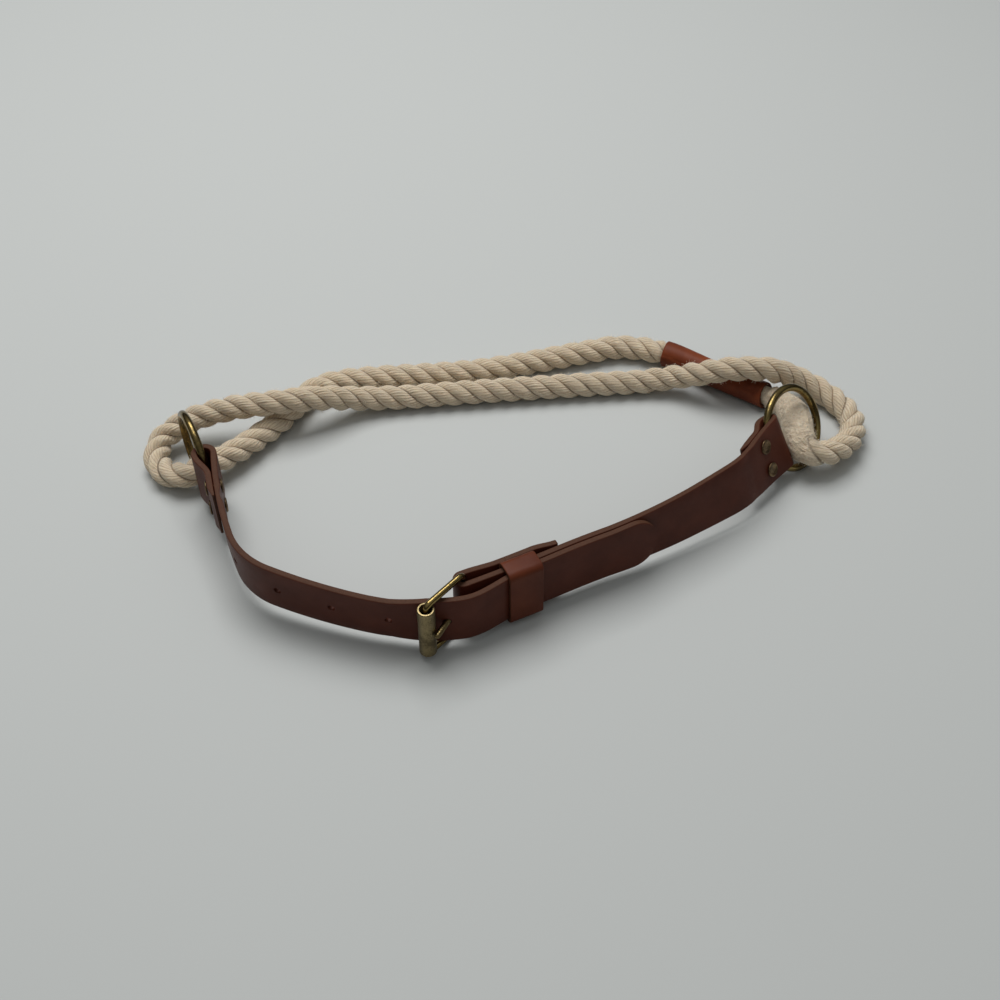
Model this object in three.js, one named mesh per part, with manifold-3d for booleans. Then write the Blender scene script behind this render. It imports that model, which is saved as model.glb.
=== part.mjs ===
// Rope belt, in millimetres with +Z up. It lies fastened on its edge: two leather straps meet in a roller buckle
// in front, and a doubled rope runs behind them from one brass ring to the other. The origin is on the surface
// that the belt lies on, under the middle of the whole belt.
import * as THREE from "three";
import { mergeVertices } from "three/addons/utils/BufferGeometryUtils.js";
import Module from "manifold-3d";

const wasm = await Module();
wasm.setup();

// Driving sizes
const gap = 0.3; // kept between pieces that touch
const joinOverlap = 0.5; // how far two solids that are joined into one run into each other
const strapWidth = 25;
const strapThickness = 2.6;
const strapStep = 4.5; // the longest stretch of strap between two sections
const foldStep = 1.8; // the same where a layer is turned back
const buckleStrapLength = 173.7; // heel bar to the fold at the right ring
const billetLength = 145.2; // roller to the fold at the left ring
const tipReach = 63.4; // how far the billet runs past the keeper's middle, to its tip
const tipLength = 12; // the rounded part of the tip
const tipBlunt = 0.12; // how wide its very end is, as a share of the strap
const ropeDiameter = 12;
const sleeveDiameter = 12.8;
const sleeveWall = 1.4;
const ringDiameter = 40;
const ringWire = 3.6;
const frameWire = 2.8;
const frameReach = 21.8; // heel bar to roller
const frameHeight = 33;
const frameCorner = 2.4;
const rollerDiameter = 7.2;
const rollerBore = 3.7;
const rollerMouth = 5.2;
const rollerMouthDepth = 1.6;
const prongWire = 2.6;
const prongLength = 23;
const prongTip = { length: 1.6, flat: 0.7 }; // the rounded tip, and how wide it still is near its end, as a share
const prongEyeWall = 1.3;
const slotLength = 9; // from the heel bar to the end of the prong's slot, along either layer
const keeperWidth = 15.2;
const keeperSlack = 1.2; // room in the keeper beside the two straps
const keeperThickness = 1.8;
const keeperCorner = 2.2;
const keeperAt = 23.6; // heel bar to the keeper's middle
const holeDiameter = 3.3;
const holePitch = 24;
const holesLeftOfProng = 4;
const holeSides = 12;
const buckleFoldLength = 43; // heel bar to the cut end of the layer that is turned back
const rivetHead = 6.6;
const rivetHeadThickness = 1;
const rivetShank = 2.6;
const rivetSpread = 12; // between the middles of two rivets
const rivetRim = { from: 0.55, to: 0.82, rise: 0.6, dish: 0.45 }; // shares of a head: its rim's place and its dish

// The folds round the rings. A fold is as wide as twice its bend's radius, middle to middle, and narrows a little.
// Its lengths run from its outer end: back to the cut end of the turned-back layer and to the rivets, and out to
// the ring's middle, which stands aside from the strap's middle and may be turned in the fold, in degrees.
const foldNarrowing = 0.9;
const ringFolds = {
  right: { bend: 3.5, back: 30, rivets: 17.3, ringOut: 9, ringAside: 3.5, ringTurn: 3 },
  left: { bend: 4.2, back: 34, rivets: 20.5, ringOut: 7.4, ringAside: 9.7, ringTurn: 19.5 },
};

// Where the buckle stands, and the ways that its parts point, in degrees from +X towards +Y
const heelBar = new THREE.Vector2(-18.9, -77.1);
const frameHeading = 229; // heel bar to roller
const prongHeading = 242.2; // heel bar to the prong's tip
const buckleStrapHeading = 24.5;
const billetHeading = 181.5;
const sweepTurn = 10; // between the billet and the buckle strap, where they part in the keeper
const sweepLead = { keeper: 0.58, roller: 0.5 }; // how far either end holds its way, as shares of the sweep

// The strap with the buckle, from the heel bar to the right ring. Each row is a bend: its share of the length,
// the degrees that it turns left, and how far the strap's top leans to the left at its end.
const buckleStrapBends = [
  { share: 0.25, turn: 3, lean: 3 },
  { share: 0.125, turn: -3.5, lean: 3 },
  { share: 0.25, turn: 9.5, lean: 12 },
  { share: 0.125, turn: 2, lean: 18 },
  { share: 0.1, turn: 18, lean: 22 },
  { share: 0.15, turn: -6.5, lean: 35 },
];

// The strap with the holes, from the roller to the left ring, in the same way.
const billetBends = [
  { share: 0.1, turn: -10, lean: 6 },
  { share: 0.08, turn: -6, lean: 5.5 },
  { share: 0.28, turn: -9, lean: 3.5 },
  { share: 0.17, turn: -43, lean: 3 },
  { share: 0.2, turn: -8, lean: 0 },
  { share: 0.17, turn: -8, lean: 0 },
];

// How far a turned-back layer lies from the strap that it is riveted to. A row's share is of the layer's length,
// and its spread goes from 0, face to face, to 1, as far as the wire or the keeper between them asks for.
const ringFoldSpread = [
  { share: 0.18, right: 1, left: 1 },
  { share: 0.29, right: 1, left: 0.87 },
  { share: 0.48, right: 0, left: 0 },
  { share: 0.75, right: 0, left: 0 },
  { share: 1, right: 0.3, left: 0.1 },
];
const buckleFoldSpread = [
  { share: 0.05, wire: 1, keeper: 0 },
  { share: 0.37, wire: 0, keeper: 1 },
  { share: 0.74, wire: 0, keeper: 1 },
  { share: 1, wire: 0, keeper: 0.2 },
];

// The rope's route, chosen by hand: the middle of the rope from the joint in the sleeve along the rear run, round
// the left loop and through the left ring, back along the front run, over the sleeve, round the right loop and
// through the right ring to the joint again.
const ropeRoute = [
  [100.8, 70.4, 6.6],
  [78.3, 86.1, 6.6],
  [55.9, 91.7, 6],
  [40.3, 88.3, 6],
  [-14, 74.1, 6],
  [-80.4, 66.2, 6],
  [-93.7, 60.2, 6],
  [-109.7, 36.2, 6],
  [-128.2, 12.5, 9],
  [-137.2, 4.3, 10.6],
  [-144.7, 0.3, 9],
  [-154.7, 2.7, 6.8],
  [-161.7, 12.2, 6.3],
  [-160.2, 23.7, 8.5],
  [-148.2, 31.2, 13],
  [-130.2, 34.9, 17],
  [-108.7, 37.3, 18.6],
  [-89.5, 43.7, 15.5],
  [-70.7, 51.2, 8.5],
  [-48.5, 55, 6],
  [64, 65.7, 6.2],
  [79.8, 65.7, 9],
  [90.6, 62.5, 14],
  [101.6, 59.7, 19],
  [112.4, 59.3, 20.2],
  [124.7, 59.8, 19],
  [139.4, 62.3, 11],
  [152.1, 57.1, 6.6],
  [160.8, 44.7, 6],
  [162, 35.1, 6.3],
  [157.9, 23.8, 7.5],
  [149.8, 14.9, 9.8],
  [141.4, 10.6, 11.8],
  [134.9, 11.5, 13.2],
  [132.9, 19.1, 13.4],
  [133.9, 31.2, 12],
  [132.9, 42.2, 9.6],
  [129.2, 50.2, 7.4],
  [123.9, 55.3, 6.6],
  [101.5, 69.9, 6.6],
].map((point) => new THREE.Vector3(...point));
const ropeSides = 12;
const ropeSteps = 80;
const ropeStep = 5; // between the points that a part of the route is resampled to
const jointPoints = 6; // the same count to either side of the joint
const sleeveHalf = 28.5; // from the joint to either rim of the sleeve, along the rope
const sleeveSides = 16;
const sleeveSteps = 12;

const leather = new THREE.MeshStandardMaterial({ color: 0x4a2a20, roughness: 0.55, metalness: 0 });
const sleeveLeather = new THREE.MeshStandardMaterial({ color: 0x6e3018, roughness: 0.5, metalness: 0 });
const cotton = new THREE.MeshStandardMaterial({ color: 0xd8c8ae, roughness: 0.95, metalness: 0 });
const brass = new THREE.MeshStandardMaterial({ color: 0x9a8040, roughness: 0.3, metalness: 1 });

// A geometry as a solid for joining and cutting, and the way back.
function solidOf(geometry) {
  const bare = geometry.clone();
  for (const name of ["normal", "uv"]) bare.deleteAttribute(name);
  const merged = mergeVertices(bare, 1e-4);
  return new wasm.Manifold(
    new wasm.Mesh({
      numProp: 3,
      vertProperties: new Float32Array(merged.attributes.position.array),
      triVerts: new Uint32Array(merged.index.array),
    }),
  );
}

function geometryOf(solid) {
  const { vertProperties, triVerts } = solid.getMesh();
  const geometry = new THREE.BufferGeometry();
  geometry.setAttribute("position", new THREE.BufferAttribute(vertProperties, 3));
  geometry.setIndex(new THREE.BufferAttribute(triVerts, 1));
  geometry.computeVertexNormals();
  return geometry;
}

function cut(geometry, cutters) {
  return geometryOf(cutters.reduce((left, cutter) => left.subtract(solidOf(cutter)), solidOf(geometry)));
}

function direction(degrees) {
  const angle = THREE.MathUtils.degToRad(degrees);
  return new THREE.Vector3(Math.cos(angle), Math.sin(angle), 0);
}

// The way that a strap's width points: upright, leaning over to the left of the way that it runs.
function widthDirection(heading, lean) {
  const angle = THREE.MathUtils.degToRad(lean);
  return new THREE.Vector3(0, 0, Math.cos(angle)).addScaledVector(direction(heading + 90), Math.sin(angle));
}

// Walks along the bends of a strap and notes where its middle is: s is the way gone, and up its width's direction.
function walk(start, heading, bends, length, heightAt) {
  const stations = [];
  const at = start.clone();
  let gone = 0;
  let lean = 0;
  const note = (way, tilt) => {
    at.z = heightAt(gone / length);
    stations.push({ s: gone, at: at.clone(), heading: way, up: widthDirection(way, tilt) });
  };
  note(heading, lean);
  for (const bend of bends) {
    const steps = Math.ceil((bend.share * length) / strapStep);
    const step = (bend.share * length) / steps;
    for (let i = 1; i <= steps; i++) {
      at.addScaledVector(direction(heading + (bend.turn * (i - 0.5)) / steps), step);
      gone += step;
      note(heading + (bend.turn * i) / steps, THREE.MathUtils.lerp(lean, bend.lean, i / steps));
    }
    heading += bend.turn;
    lean = bend.lean;
  }
  return stations;
}

// The station at any distance along a walk.
function stationAt(stations, s) {
  const next = stations.findIndex((station) => station.s >= s) || 1;
  const [a, b] = next < 0 ? stations.slice(-2) : stations.slice(next - 1, next + 1);
  const share = (s - a.s) / (b.s - a.s);
  return {
    s,
    at: a.at.clone().lerp(b.at, share),
    heading: THREE.MathUtils.lerp(a.heading, b.heading, share),
    up: a.up.clone().lerp(b.up, share).normalize(),
  };
}

// Square to a station's strap, to the left of the way that it runs.
function leftOf(station) {
  return new THREE.Vector3().crossVectors(station.up, direction(station.heading)).normalize();
}

function beside(station, distance) {
  return { ...station, at: station.at.clone().addScaledVector(leftOf(station), distance) };
}

// A strip of leather: a box with a section for each station, bent along them. A station may narrow the strip.
function strip(stations, width, thickness) {
  const count = stations.length - 1;
  const geometry = new THREE.BoxGeometry(1, 1, 1, count, 1, 1);
  const position = geometry.attributes.position;
  const sections = stations.map((station, i) => {
    const tangent = new THREE.Vector3()
      .subVectors(stations[Math.min(i + 1, count)].at, stations[Math.max(i - 1, 0)].at)
      .normalize();
    const side = new THREE.Vector3().crossVectors(station.up, tangent).normalize();
    return { at: station.at, side, up: new THREE.Vector3().crossVectors(tangent, side), narrow: station.narrow ?? 1 };
  });
  const corner = new THREE.Vector3();
  for (let i = 0; i < position.count; i++) {
    corner.fromBufferAttribute(position, i);
    const section = sections[Math.round((corner.x + 0.5) * count)];
    const point = section.at
      .clone()
      .addScaledVector(section.side, corner.y * thickness)
      .addScaledVector(section.up, corner.z * width * section.narrow);
    position.setXYZ(i, point.x, point.y, point.z);
  }
  return geometry;
}

// Half a turn of a strap to the left, round a post at its middle. The arm points from the post to its start.
function halfTurn(middle, up, arm, radius, narrow) {
  const steps = 8;
  const stations = [];
  for (let i = 1; i < steps; i++) {
    const way = arm.clone().applyAxisAngle(up, (Math.PI * i) / steps);
    stations.push({ at: middle.clone().addScaledVector(way, radius), up, narrow });
  }
  return stations;
}

// A value from a table of shares, eased from row to row.
function eased(rows, column, share) {
  const next = rows.findIndex((row) => row.share >= share);
  if (next <= 0) return next === 0 ? rows[0][column] : rows.at(-1)[column];
  const [a, b] = [rows[next - 1], rows[next]];
  return THREE.MathUtils.lerp(a[column], b[column], THREE.MathUtils.smoothstep(share, a.share, b.share));
}

// Turns a geometry that is made round +Z so that its axis points along a direction, and puts it in place.
function aim(geometry, axis, at) {
  const turn = new THREE.Quaternion().setFromUnitVectors(new THREE.Vector3(0, 0, 1), axis);
  return geometry.applyQuaternion(turn).translate(at.x, at.y, at.z);
}

// A round punch for the holes in the leather
function post(diameter, length) {
  return new THREE.CylinderGeometry(diameter / 2, diameter / 2, length, holeSides).rotateX(Math.PI / 2);
}

const belt = new THREE.Group();
belt.name = "rope_belt";

function add(name, geometry, material) {
  const mesh = new THREE.Mesh(geometry, material);
  mesh.name = name;
  belt.add(mesh);
}

// The straps' middle is at the height of the buckle's middle in front and of the ring's middle at either side.
const buckleMiddle = frameHeight / 2;
const ringRadius = (ringDiameter - ringWire) / 2;
const layerStep = strapThickness + gap; // middle to middle, of two layers that lie face to face

function heightTowards(fold, lean) {
  const angle = THREE.MathUtils.degToRad(lean);
  const end = ringRadius * Math.cos(angle) + ringWire / 2 + fold.ringAside * Math.sin(angle);
  return (share) => THREE.MathUtils.lerp(buckleMiddle, end, THREE.MathUtils.smoothstep(share, 0, 1));
}

// A strap's end at its ring: the run up to the fold, the turn round the wire, and the layer that comes back on the
// strap's left.
function ringEnd(stations, length, place) {
  const fold = ringFolds[place];
  const turnAt = strapThickness / 2 + fold.bend;
  const turn = stationAt(stations, length - turnAt);
  const run = stations.filter(({ s }) => s < turn.s - 1);
  const middle = beside(turn, fold.bend).at;
  const round = halfTurn(middle, turn.up, leftOf(turn).negate(), fold.bend, foldNarrowing);
  const layer = [];
  const count = Math.ceil((fold.back - turnAt) / foldStep);
  for (let i = 0; i <= count; i++) {
    const back = THREE.MathUtils.lerp(turnAt, fold.back, i / count);
    const spread = eased(ringFoldSpread, place, back / fold.back);
    const distance = THREE.MathUtils.lerp(layerStep, 2 * fold.bend, spread);
    layer.push(beside(stationAt(stations, length - back), distance));
  }
  return [...run, turn, ...round, ...layer];
}

// A ring in its fold, of wire of any diameter.
function ring(stations, length, place, wire) {
  const fold = ringFolds[place];
  const end = stationAt(stations, length);
  const middle = beside(end, fold.ringAside).at.addScaledVector(direction(end.heading), fold.ringOut);
  const along = direction(end.heading + fold.ringTurn);
  const basis = new THREE.Matrix4().makeBasis(along, end.up, new THREE.Vector3().crossVectors(along, end.up));
  return new THREE.TorusGeometry(ringRadius, wire / 2, 10, 40).applyMatrix4(basis.setPosition(middle));
}

// A rivet with two dished heads, for a stack of leather of a given thickness. Its middle is at the origin.
function rivet(stack) {
  const [shank, head] = [rivetShank / 2, rivetHead / 2];
  const [seat, top] = [stack / 2 + gap, stack / 2 + gap + rivetHeadThickness];
  const bottom = top - rivetRim.dish * rivetHeadThickness;
  const half = [
    [shank, seat],
    [head, seat],
    [head, seat + rivetRim.rise * rivetHeadThickness],
    [rivetRim.to * head, top],
    [rivetRim.from * head, bottom],
    [0, bottom],
  ];
  const profile = [...half.map(([x, y]) => [x, -y]).reverse(), ...half];
  return new THREE.LatheGeometry(
    profile.map(([x, y]) => new THREE.Vector2(x, y)),
    14,
  ).rotateX(Math.PI / 2);
}

function rivetPlaces(station, distance) {
  const middle = beside(station, distance);
  return [1, -1].map((way) => ({
    at: middle.at.clone().addScaledVector(station.up, (way * rivetSpread) / 2),
    axis: leftOf(station),
  }));
}

function rivetHoles(places) {
  return places.map(({ at, axis }) => aim(post(rivetShank + 2 * gap, throughAll), axis, at));
}

// The strap with the buckle
const heel = new THREE.Vector3(heelBar.x, heelBar.y, buckleMiddle);
const heelTurn = frameWire / 2 + gap + strapThickness / 2;
const buckleWalk = walk(
  heel.clone().addScaledVector(direction(buckleStrapHeading - 90), heelTurn),
  buckleStrapHeading,
  buckleStrapBends,
  buckleStrapLength,
  heightTowards(ringFolds.right, buckleStrapBends.at(-1).lean),
);

const keeperPlay = keeperThickness + gap;
function buckleFoldDistance(s) {
  const wire = eased(buckleFoldSpread, "wire", s / buckleFoldLength) * (2 * heelTurn - layerStep);
  const keeper = eased(buckleFoldSpread, "keeper", s / buckleFoldLength) * keeperPlay;
  return layerStep + wire + keeper;
}

const buckleFold = [];
const foldCount = Math.ceil(buckleFoldLength / foldStep);
for (let i = foldCount; i >= 0; i--) {
  const s = (buckleFoldLength * i) / foldCount;
  buckleFold.push(beside(stationAt(buckleWalk, s), buckleFoldDistance(s)));
}
const heelTurned = halfTurn(heel, new THREE.Vector3(0, 0, 1), direction(buckleStrapHeading + 90), heelTurn, 1);
const slot = new THREE.BoxGeometry(2 * slotLength, 4 * heelTurn, prongWire + 4 * gap)
  .rotateZ(THREE.MathUtils.degToRad(buckleStrapHeading))
  .translate(heel.x, heel.y, heel.z);
const rightRivets = rivetPlaces(stationAt(buckleWalk, buckleStrapLength - ringFolds.right.rivets), layerStep / 2);
const throughAll = 4 * strapThickness; // long enough to go right through a fold
const buckleStrap = [...buckleFold, ...heelTurned, ...ringEnd(buckleWalk, buckleStrapLength, "right")];
add(
  "buckle_strap",
  cut(strip(buckleStrap, strapWidth, strapThickness), [
    slot,
    ...rivetHoles(rightRivets),
    ring(buckleWalk, buckleStrapLength, "right", ringWire + 2 * gap),
  ]),
  leather,
);

// The roller, on the frame's far bar
const roller = heel.clone().addScaledVector(direction(frameHeading), frameReach);
const frameWay = direction(frameHeading);

// The strap with the holes: from its tip beside the buckle strap to the keeper, in one sweep past the heel bar to
// the far side of the roller, and on to the left ring.
const passRoller = roller
  .clone()
  .addScaledVector(direction(billetHeading - 90), rollerDiameter / 2 + gap + strapThickness / 2);
const billetWalk = walk(
  passRoller,
  billetHeading,
  billetBends,
  billetLength,
  heightTowards(ringFolds.left, billetBends.at(-1).lean),
);

const tipAt = keeperAt + tipReach;
const besideFrom = keeperAt; // from here on the billet lies face to face with the buckle strap
const tipCount = Math.ceil((tipAt - besideFrom) / strapStep);
const tipRun = [];
for (let i = 0; i <= tipCount; i++) {
  const s = THREE.MathUtils.lerp(tipAt - tipLength, besideFrom, i / tipCount);
  tipRun.push(beside(stationAt(buckleWalk, s), -layerStep));
}
const tipEnd = [];
const tipTurns = 6;
for (let i = 0; i < tipTurns; i++) {
  const angle = (i / tipTurns) * 0.5 * Math.PI;
  const s = tipAt - tipLength + tipLength * Math.cos(angle);
  const narrow = Math.max(tipBlunt, Math.sin(angle));
  tipEnd.push({ ...beside(stationAt(buckleWalk, s), -layerStep), narrow });
}
const join = tipRun.at(-1);
const sweepLength = join.at.distanceTo(passRoller);
const sweepCurve = new THREE.CubicBezierCurve3(
  join.at,
  join.at.clone().addScaledVector(direction(join.heading + sweepTurn), -sweepLead.keeper * sweepLength),
  passRoller.clone().addScaledVector(direction(billetHeading), -sweepLead.roller * sweepLength),
  passRoller,
);
const sweepCount = 12;
const sweepRun = [];
for (let i = 1; i < sweepCount; i++) {
  const up = join.up.clone().lerp(billetWalk[0].up, i / sweepCount).normalize();
  sweepRun.push({ at: sweepCurve.getPoint(i / sweepCount), up });
}
const leftRivets = rivetPlaces(stationAt(billetWalk, billetLength - ringFolds.left.rivets), layerStep / 2);

// The prong crosses the billet where its way from the heel bar meets the sweep. The other holes follow at one
// pitch, on the far side of the roller.
const prongWay = direction(prongHeading);
const sampleCount = 200;
const samples = sweepCurve.getSpacedPoints(sampleCount);
const off = (point) => Math.abs(new THREE.Vector3().subVectors(point, heel).cross(prongWay).z);
const crossing = samples.reduce((best, point) => (off(point) < off(best) ? point : best));
const crossingToRoller = sweepCurve.getLength() * (1 - samples.indexOf(crossing) / sampleCount);
const prongHole = aim(post(prongWire + 2 * gap, throughAll), prongWay, crossing);
const holes = [];
for (let i = 1; i <= holesLeftOfProng; i++) {
  const station = stationAt(billetWalk, i * holePitch - crossingToRoller);
  holes.push(aim(post(holeDiameter, 2 * strapThickness), leftOf(station), station.at));
}
const billet = [...tipEnd, ...tipRun, ...sweepRun, ...ringEnd(billetWalk, billetLength, "left")];
add(
  "billet_strap",
  cut(strip(billet, strapWidth, strapThickness), [
    prongHole,
    ...holes,
    ...rivetHoles(leftRivets),
    ring(billetWalk, billetLength, "left", ringWire + 2 * gap),
  ]),
  leather,
);

// The keeper: a closed band of thinner leather round both straps
const keeperStation = stationAt(buckleWalk, keeperAt);
const keeperInside = { x: 2 * strapThickness + 3 * gap + keeperSlack, y: strapWidth + 4 * gap };

function roundedRectangle(width, height, corner) {
  const shape = new THREE.Shape();
  const [x, y] = [width / 2 - corner, height / 2 - corner];
  shape.absarc(x, y, corner, 0, Math.PI / 2);
  shape.absarc(-x, y, corner, Math.PI / 2, Math.PI);
  shape.absarc(-x, -y, corner, Math.PI, 1.5 * Math.PI);
  shape.absarc(x, -y, corner, 1.5 * Math.PI, 2 * Math.PI);
  return shape;
}

const band = roundedRectangle(
  keeperInside.x + 2 * keeperThickness,
  keeperInside.y + 2 * keeperThickness,
  keeperCorner,
);
band.holes.push(
  roundedRectangle(keeperInside.x, keeperInside.y, Math.max(gap, keeperCorner - keeperThickness)),
);
const keeper = new THREE.ExtrudeGeometry(band, { depth: keeperWidth, bevelEnabled: false, curveSegments: 4 });
keeper.translate(0, 0, -keeperWidth / 2);
const keeperMiddle = beside(keeperStation, -(layerStep + keeperSlack) / 2).at;
keeper.applyMatrix4(
  new THREE.Matrix4()
    .makeBasis(leftOf(keeperStation), keeperStation.up, direction(keeperStation.heading))
    .setPosition(keeperMiddle),
);
add("keeper", keeper, leather);

// The buckle's frame: one closed loop of wire, upright, from the heel bar to the roller
function frameLoop() {
  const [far, high] = [frameReach / 2, (frameHeight - frameWire) / 2];
  const path = new THREE.CurvePath();
  const corners = [
    [far, high],
    [-far, high],
    [-far, -high],
    [far, -high],
  ].map(([x, z]) => new THREE.Vector3(x, 0, z));
  corners.forEach((point, i) => {
    const before = corners[(i + 3) % 4].clone().sub(point).setLength(frameCorner).add(point);
    const after = corners[(i + 1) % 4].clone().sub(point).setLength(frameCorner).add(point);
    const next = corners[(i + 1) % 4].clone();
    path.add(new THREE.QuadraticBezierCurve3(before, point, after));
    path.add(new THREE.LineCurve3(after, next.clone().add(point.clone().sub(next).setLength(frameCorner))));
  });
  return path;
}

// A closed wire: rings of vertices round each point of a loop.
function closedWire(points, diameter, sides) {
  const torus = new THREE.TorusGeometry(1, 0.5, sides, points.length);
  const position = torus.attributes.position;
  const loop = points.map((at, i) => {
    const along = new THREE.Vector3()
      .subVectors(points[(i + 1) % points.length], points[(i + points.length - 1) % points.length])
      .normalize();
    return { at, across: new THREE.Vector3(-along.z, 0, along.x) };
  });
  for (let row = 0; row <= sides; row++) {
    const angle = ((row % sides) / sides) * 2 * Math.PI;
    for (let i = 0; i <= points.length; i++) {
      const { at, across } = loop[i % points.length];
      const point = at
        .clone()
        .addScaledVector(across, (Math.cos(angle) * diameter) / 2)
        .add(new THREE.Vector3(0, (Math.sin(angle) * diameter) / 2, 0));
      position.setXYZ(row * (points.length + 1) + i, point.x, point.y, point.z);
    }
  }
  return torus;
}

const framePoints = [];
for (const curve of frameLoop().curves) {
  const steps = curve.isLineCurve3 ? 1 : 4;
  for (let i = 0; i < steps; i++) framePoints.push(curve.getPoint(i / steps));
}
const frameMiddle = heel.clone().lerp(roller, 0.5);
const frame = closedWire(framePoints, frameWire, 10)
  .rotateZ(THREE.MathUtils.degToRad(frameHeading))
  .translate(frameMiddle.x, frameMiddle.y, frameMiddle.z);
add("buckle_frame", frame, brass);

const rollerLength = frameHeight - 2 * frameWire - 2 * gap;
const rollerProfile = [
  [rollerMouth / 2, rollerLength / 2],
  [rollerBore / 2, rollerLength / 2 - rollerMouthDepth],
  [rollerBore / 2, -rollerLength / 2 + rollerMouthDepth],
  [rollerMouth / 2, -rollerLength / 2],
  [rollerDiameter / 2, -rollerLength / 2],
  [rollerDiameter / 2, rollerLength / 2],
  [rollerMouth / 2, rollerLength / 2],
].map(([x, y]) => new THREE.Vector2(x, y));
add(
  "buckle_roller",
  new THREE.LatheGeometry(rollerProfile, 20).rotateX(Math.PI / 2).translate(roller.x, roller.y, roller.z),
  brass,
);

// The prong: a wire with an eye round the heel bar and a rounded tip
const eyeInside = frameWire / 2 + gap;
const eye = new THREE.Shape().absarc(0, 0, eyeInside + prongEyeWall, 0, 2 * Math.PI);
eye.holes.push(new THREE.Path().absarc(0, 0, eyeInside, 0, 2 * Math.PI));
const prongEye = new THREE.ExtrudeGeometry(eye, { depth: prongWire, bevelEnabled: false, curveSegments: 8 })
  .translate(heel.x, heel.y, heel.z - prongWire / 2);
const shaftFrom = eyeInside + prongEyeWall - joinOverlap;
const prongRadius = prongWire / 2;
const shaftProfile = [
  [0, shaftFrom],
  [prongRadius, shaftFrom],
  [prongRadius, prongLength - prongTip.length],
  [prongTip.flat * prongRadius, prongLength - prongTip.length / 4],
  [0, prongLength],
].map(([x, y]) => new THREE.Vector2(x, y));
const shaft = aim(new THREE.LatheGeometry(shaftProfile, 12).rotateX(Math.PI / 2), prongWay, heel);
add("buckle_prong", geometryOf(solidOf(prongEye).add(solidOf(shaft))), brass);

add("ring_right", ring(buckleWalk, buckleStrapLength, "right", ringWire), brass);
add("ring_left", ring(billetWalk, billetLength, "left", ringWire), brass);

// The rivets, two through each riveted fold
const rivetSets = { ring_right: rightRivets, ring_left: leftRivets };
for (const [place, spots] of Object.entries(rivetSets))
  spots.forEach(({ at, axis }, i) =>
    add(`rivet_${place}_${i + 1}`, aim(rivet(2 * strapThickness + gap), axis, at), brass),
  );

// The rope, one tube along its route. Inside the sleeve it is squeezed thinner.
const ropeCurve = new THREE.CatmullRomCurve3(ropeRoute, false, "centripetal");
ropeCurve.arcLengthDivisions = 2000;
const ropeLength = ropeCurve.getLength();

// A part of the rope's curve, from one distance along it to another.
function stretch(from, to) {
  const count = Math.round((to - from) / ropeStep);
  const points = [];
  for (let i = 0; i <= count; i++) {
    const point = ropeCurve.getPointAt((from + ((to - from) * i) / count) / ropeLength);
    point.z = Math.max(point.z, ropeDiameter / 2);
    points.push(point);
  }
  return new THREE.CatmullRomCurve3(points, false, "centripetal");
}

function circle(diameter, sides) {
  const shape = new THREE.Shape();
  for (let i = 0; i <= sides; i++) {
    const angle = (2 * Math.PI * i) / sides;
    const [x, y] = [(Math.cos(angle) * diameter) / 2, (Math.sin(angle) * diameter) / 2];
    if (i === 0) shape.moveTo(x, y);
    else shape.lineTo(x, y);
  }
  return shape;
}

// The stretch through the joint, to either side of it by the same distance.
function acrossJoint(half) {
  const points = [];
  const share = half / jointPoints / ropeLength;
  for (let i = jointPoints; i > 0; i--) points.push(ropeCurve.getPointAt(i * share));
  for (let i = 1; i <= jointPoints; i++) points.push(ropeCurve.getPointAt(1 - i * share));
  return new THREE.CatmullRomCurve3(points, false, "centripetal");
}

function tube(shape, extrudePath, steps) {
  return new THREE.ExtrudeGeometry(shape, { steps, extrudePath, bevelEnabled: false });
}

const coreDiameter = sleeveDiameter - 2 * sleeveWall - 2 * gap;
const ropeStart = sleeveHalf + 4 * gap;
const rope = solidOf(tube(circle(ropeDiameter, ropeSides), stretch(ropeStart, ropeLength - ropeStart), ropeSteps));
const core = solidOf(tube(circle(coreDiameter, ropeSides), acrossJoint(ropeStart + joinOverlap), sleeveSteps));
add("rope", geometryOf(rope.add(core)), cotton);

// The sleeve over the rope's joint
const sleeveShape = circle(sleeveDiameter, sleeveSides);
sleeveShape.holes.push(circle(sleeveDiameter - 2 * sleeveWall, sleeveSides));
add("rope_sleeve", tube(sleeveShape, acrossJoint(sleeveHalf), sleeveSteps), sleeveLeather);

export default belt;
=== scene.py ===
import math
import bpy
from mathutils import Matrix, Vector


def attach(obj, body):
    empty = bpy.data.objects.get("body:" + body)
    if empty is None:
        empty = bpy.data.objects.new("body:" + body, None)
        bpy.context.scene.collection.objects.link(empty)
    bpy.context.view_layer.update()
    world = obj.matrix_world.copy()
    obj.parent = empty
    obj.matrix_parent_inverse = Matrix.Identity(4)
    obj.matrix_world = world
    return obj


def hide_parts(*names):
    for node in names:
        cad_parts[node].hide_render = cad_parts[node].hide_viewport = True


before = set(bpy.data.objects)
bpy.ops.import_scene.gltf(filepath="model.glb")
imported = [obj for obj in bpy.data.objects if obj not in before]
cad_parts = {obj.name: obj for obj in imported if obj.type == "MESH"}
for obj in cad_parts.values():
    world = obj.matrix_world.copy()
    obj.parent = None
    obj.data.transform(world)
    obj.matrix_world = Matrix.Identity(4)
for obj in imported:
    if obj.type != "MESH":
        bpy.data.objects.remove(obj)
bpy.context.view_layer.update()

# The camera looks down on the belt from the front, as the photograph does, and sees a square picture.
camera_data = bpy.data.cameras.new("camera")
camera_data.sensor_width = 36
camera_data.lens = 46.8
camera = bpy.data.objects.new("camera", camera_data)
bpy.context.collection.objects.link(camera)
camera.location = (-0.0042, -0.4083, 0.43)
camera.rotation_euler = (math.radians(43), 0, 0)
bpy.context.scene.camera = camera


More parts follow.
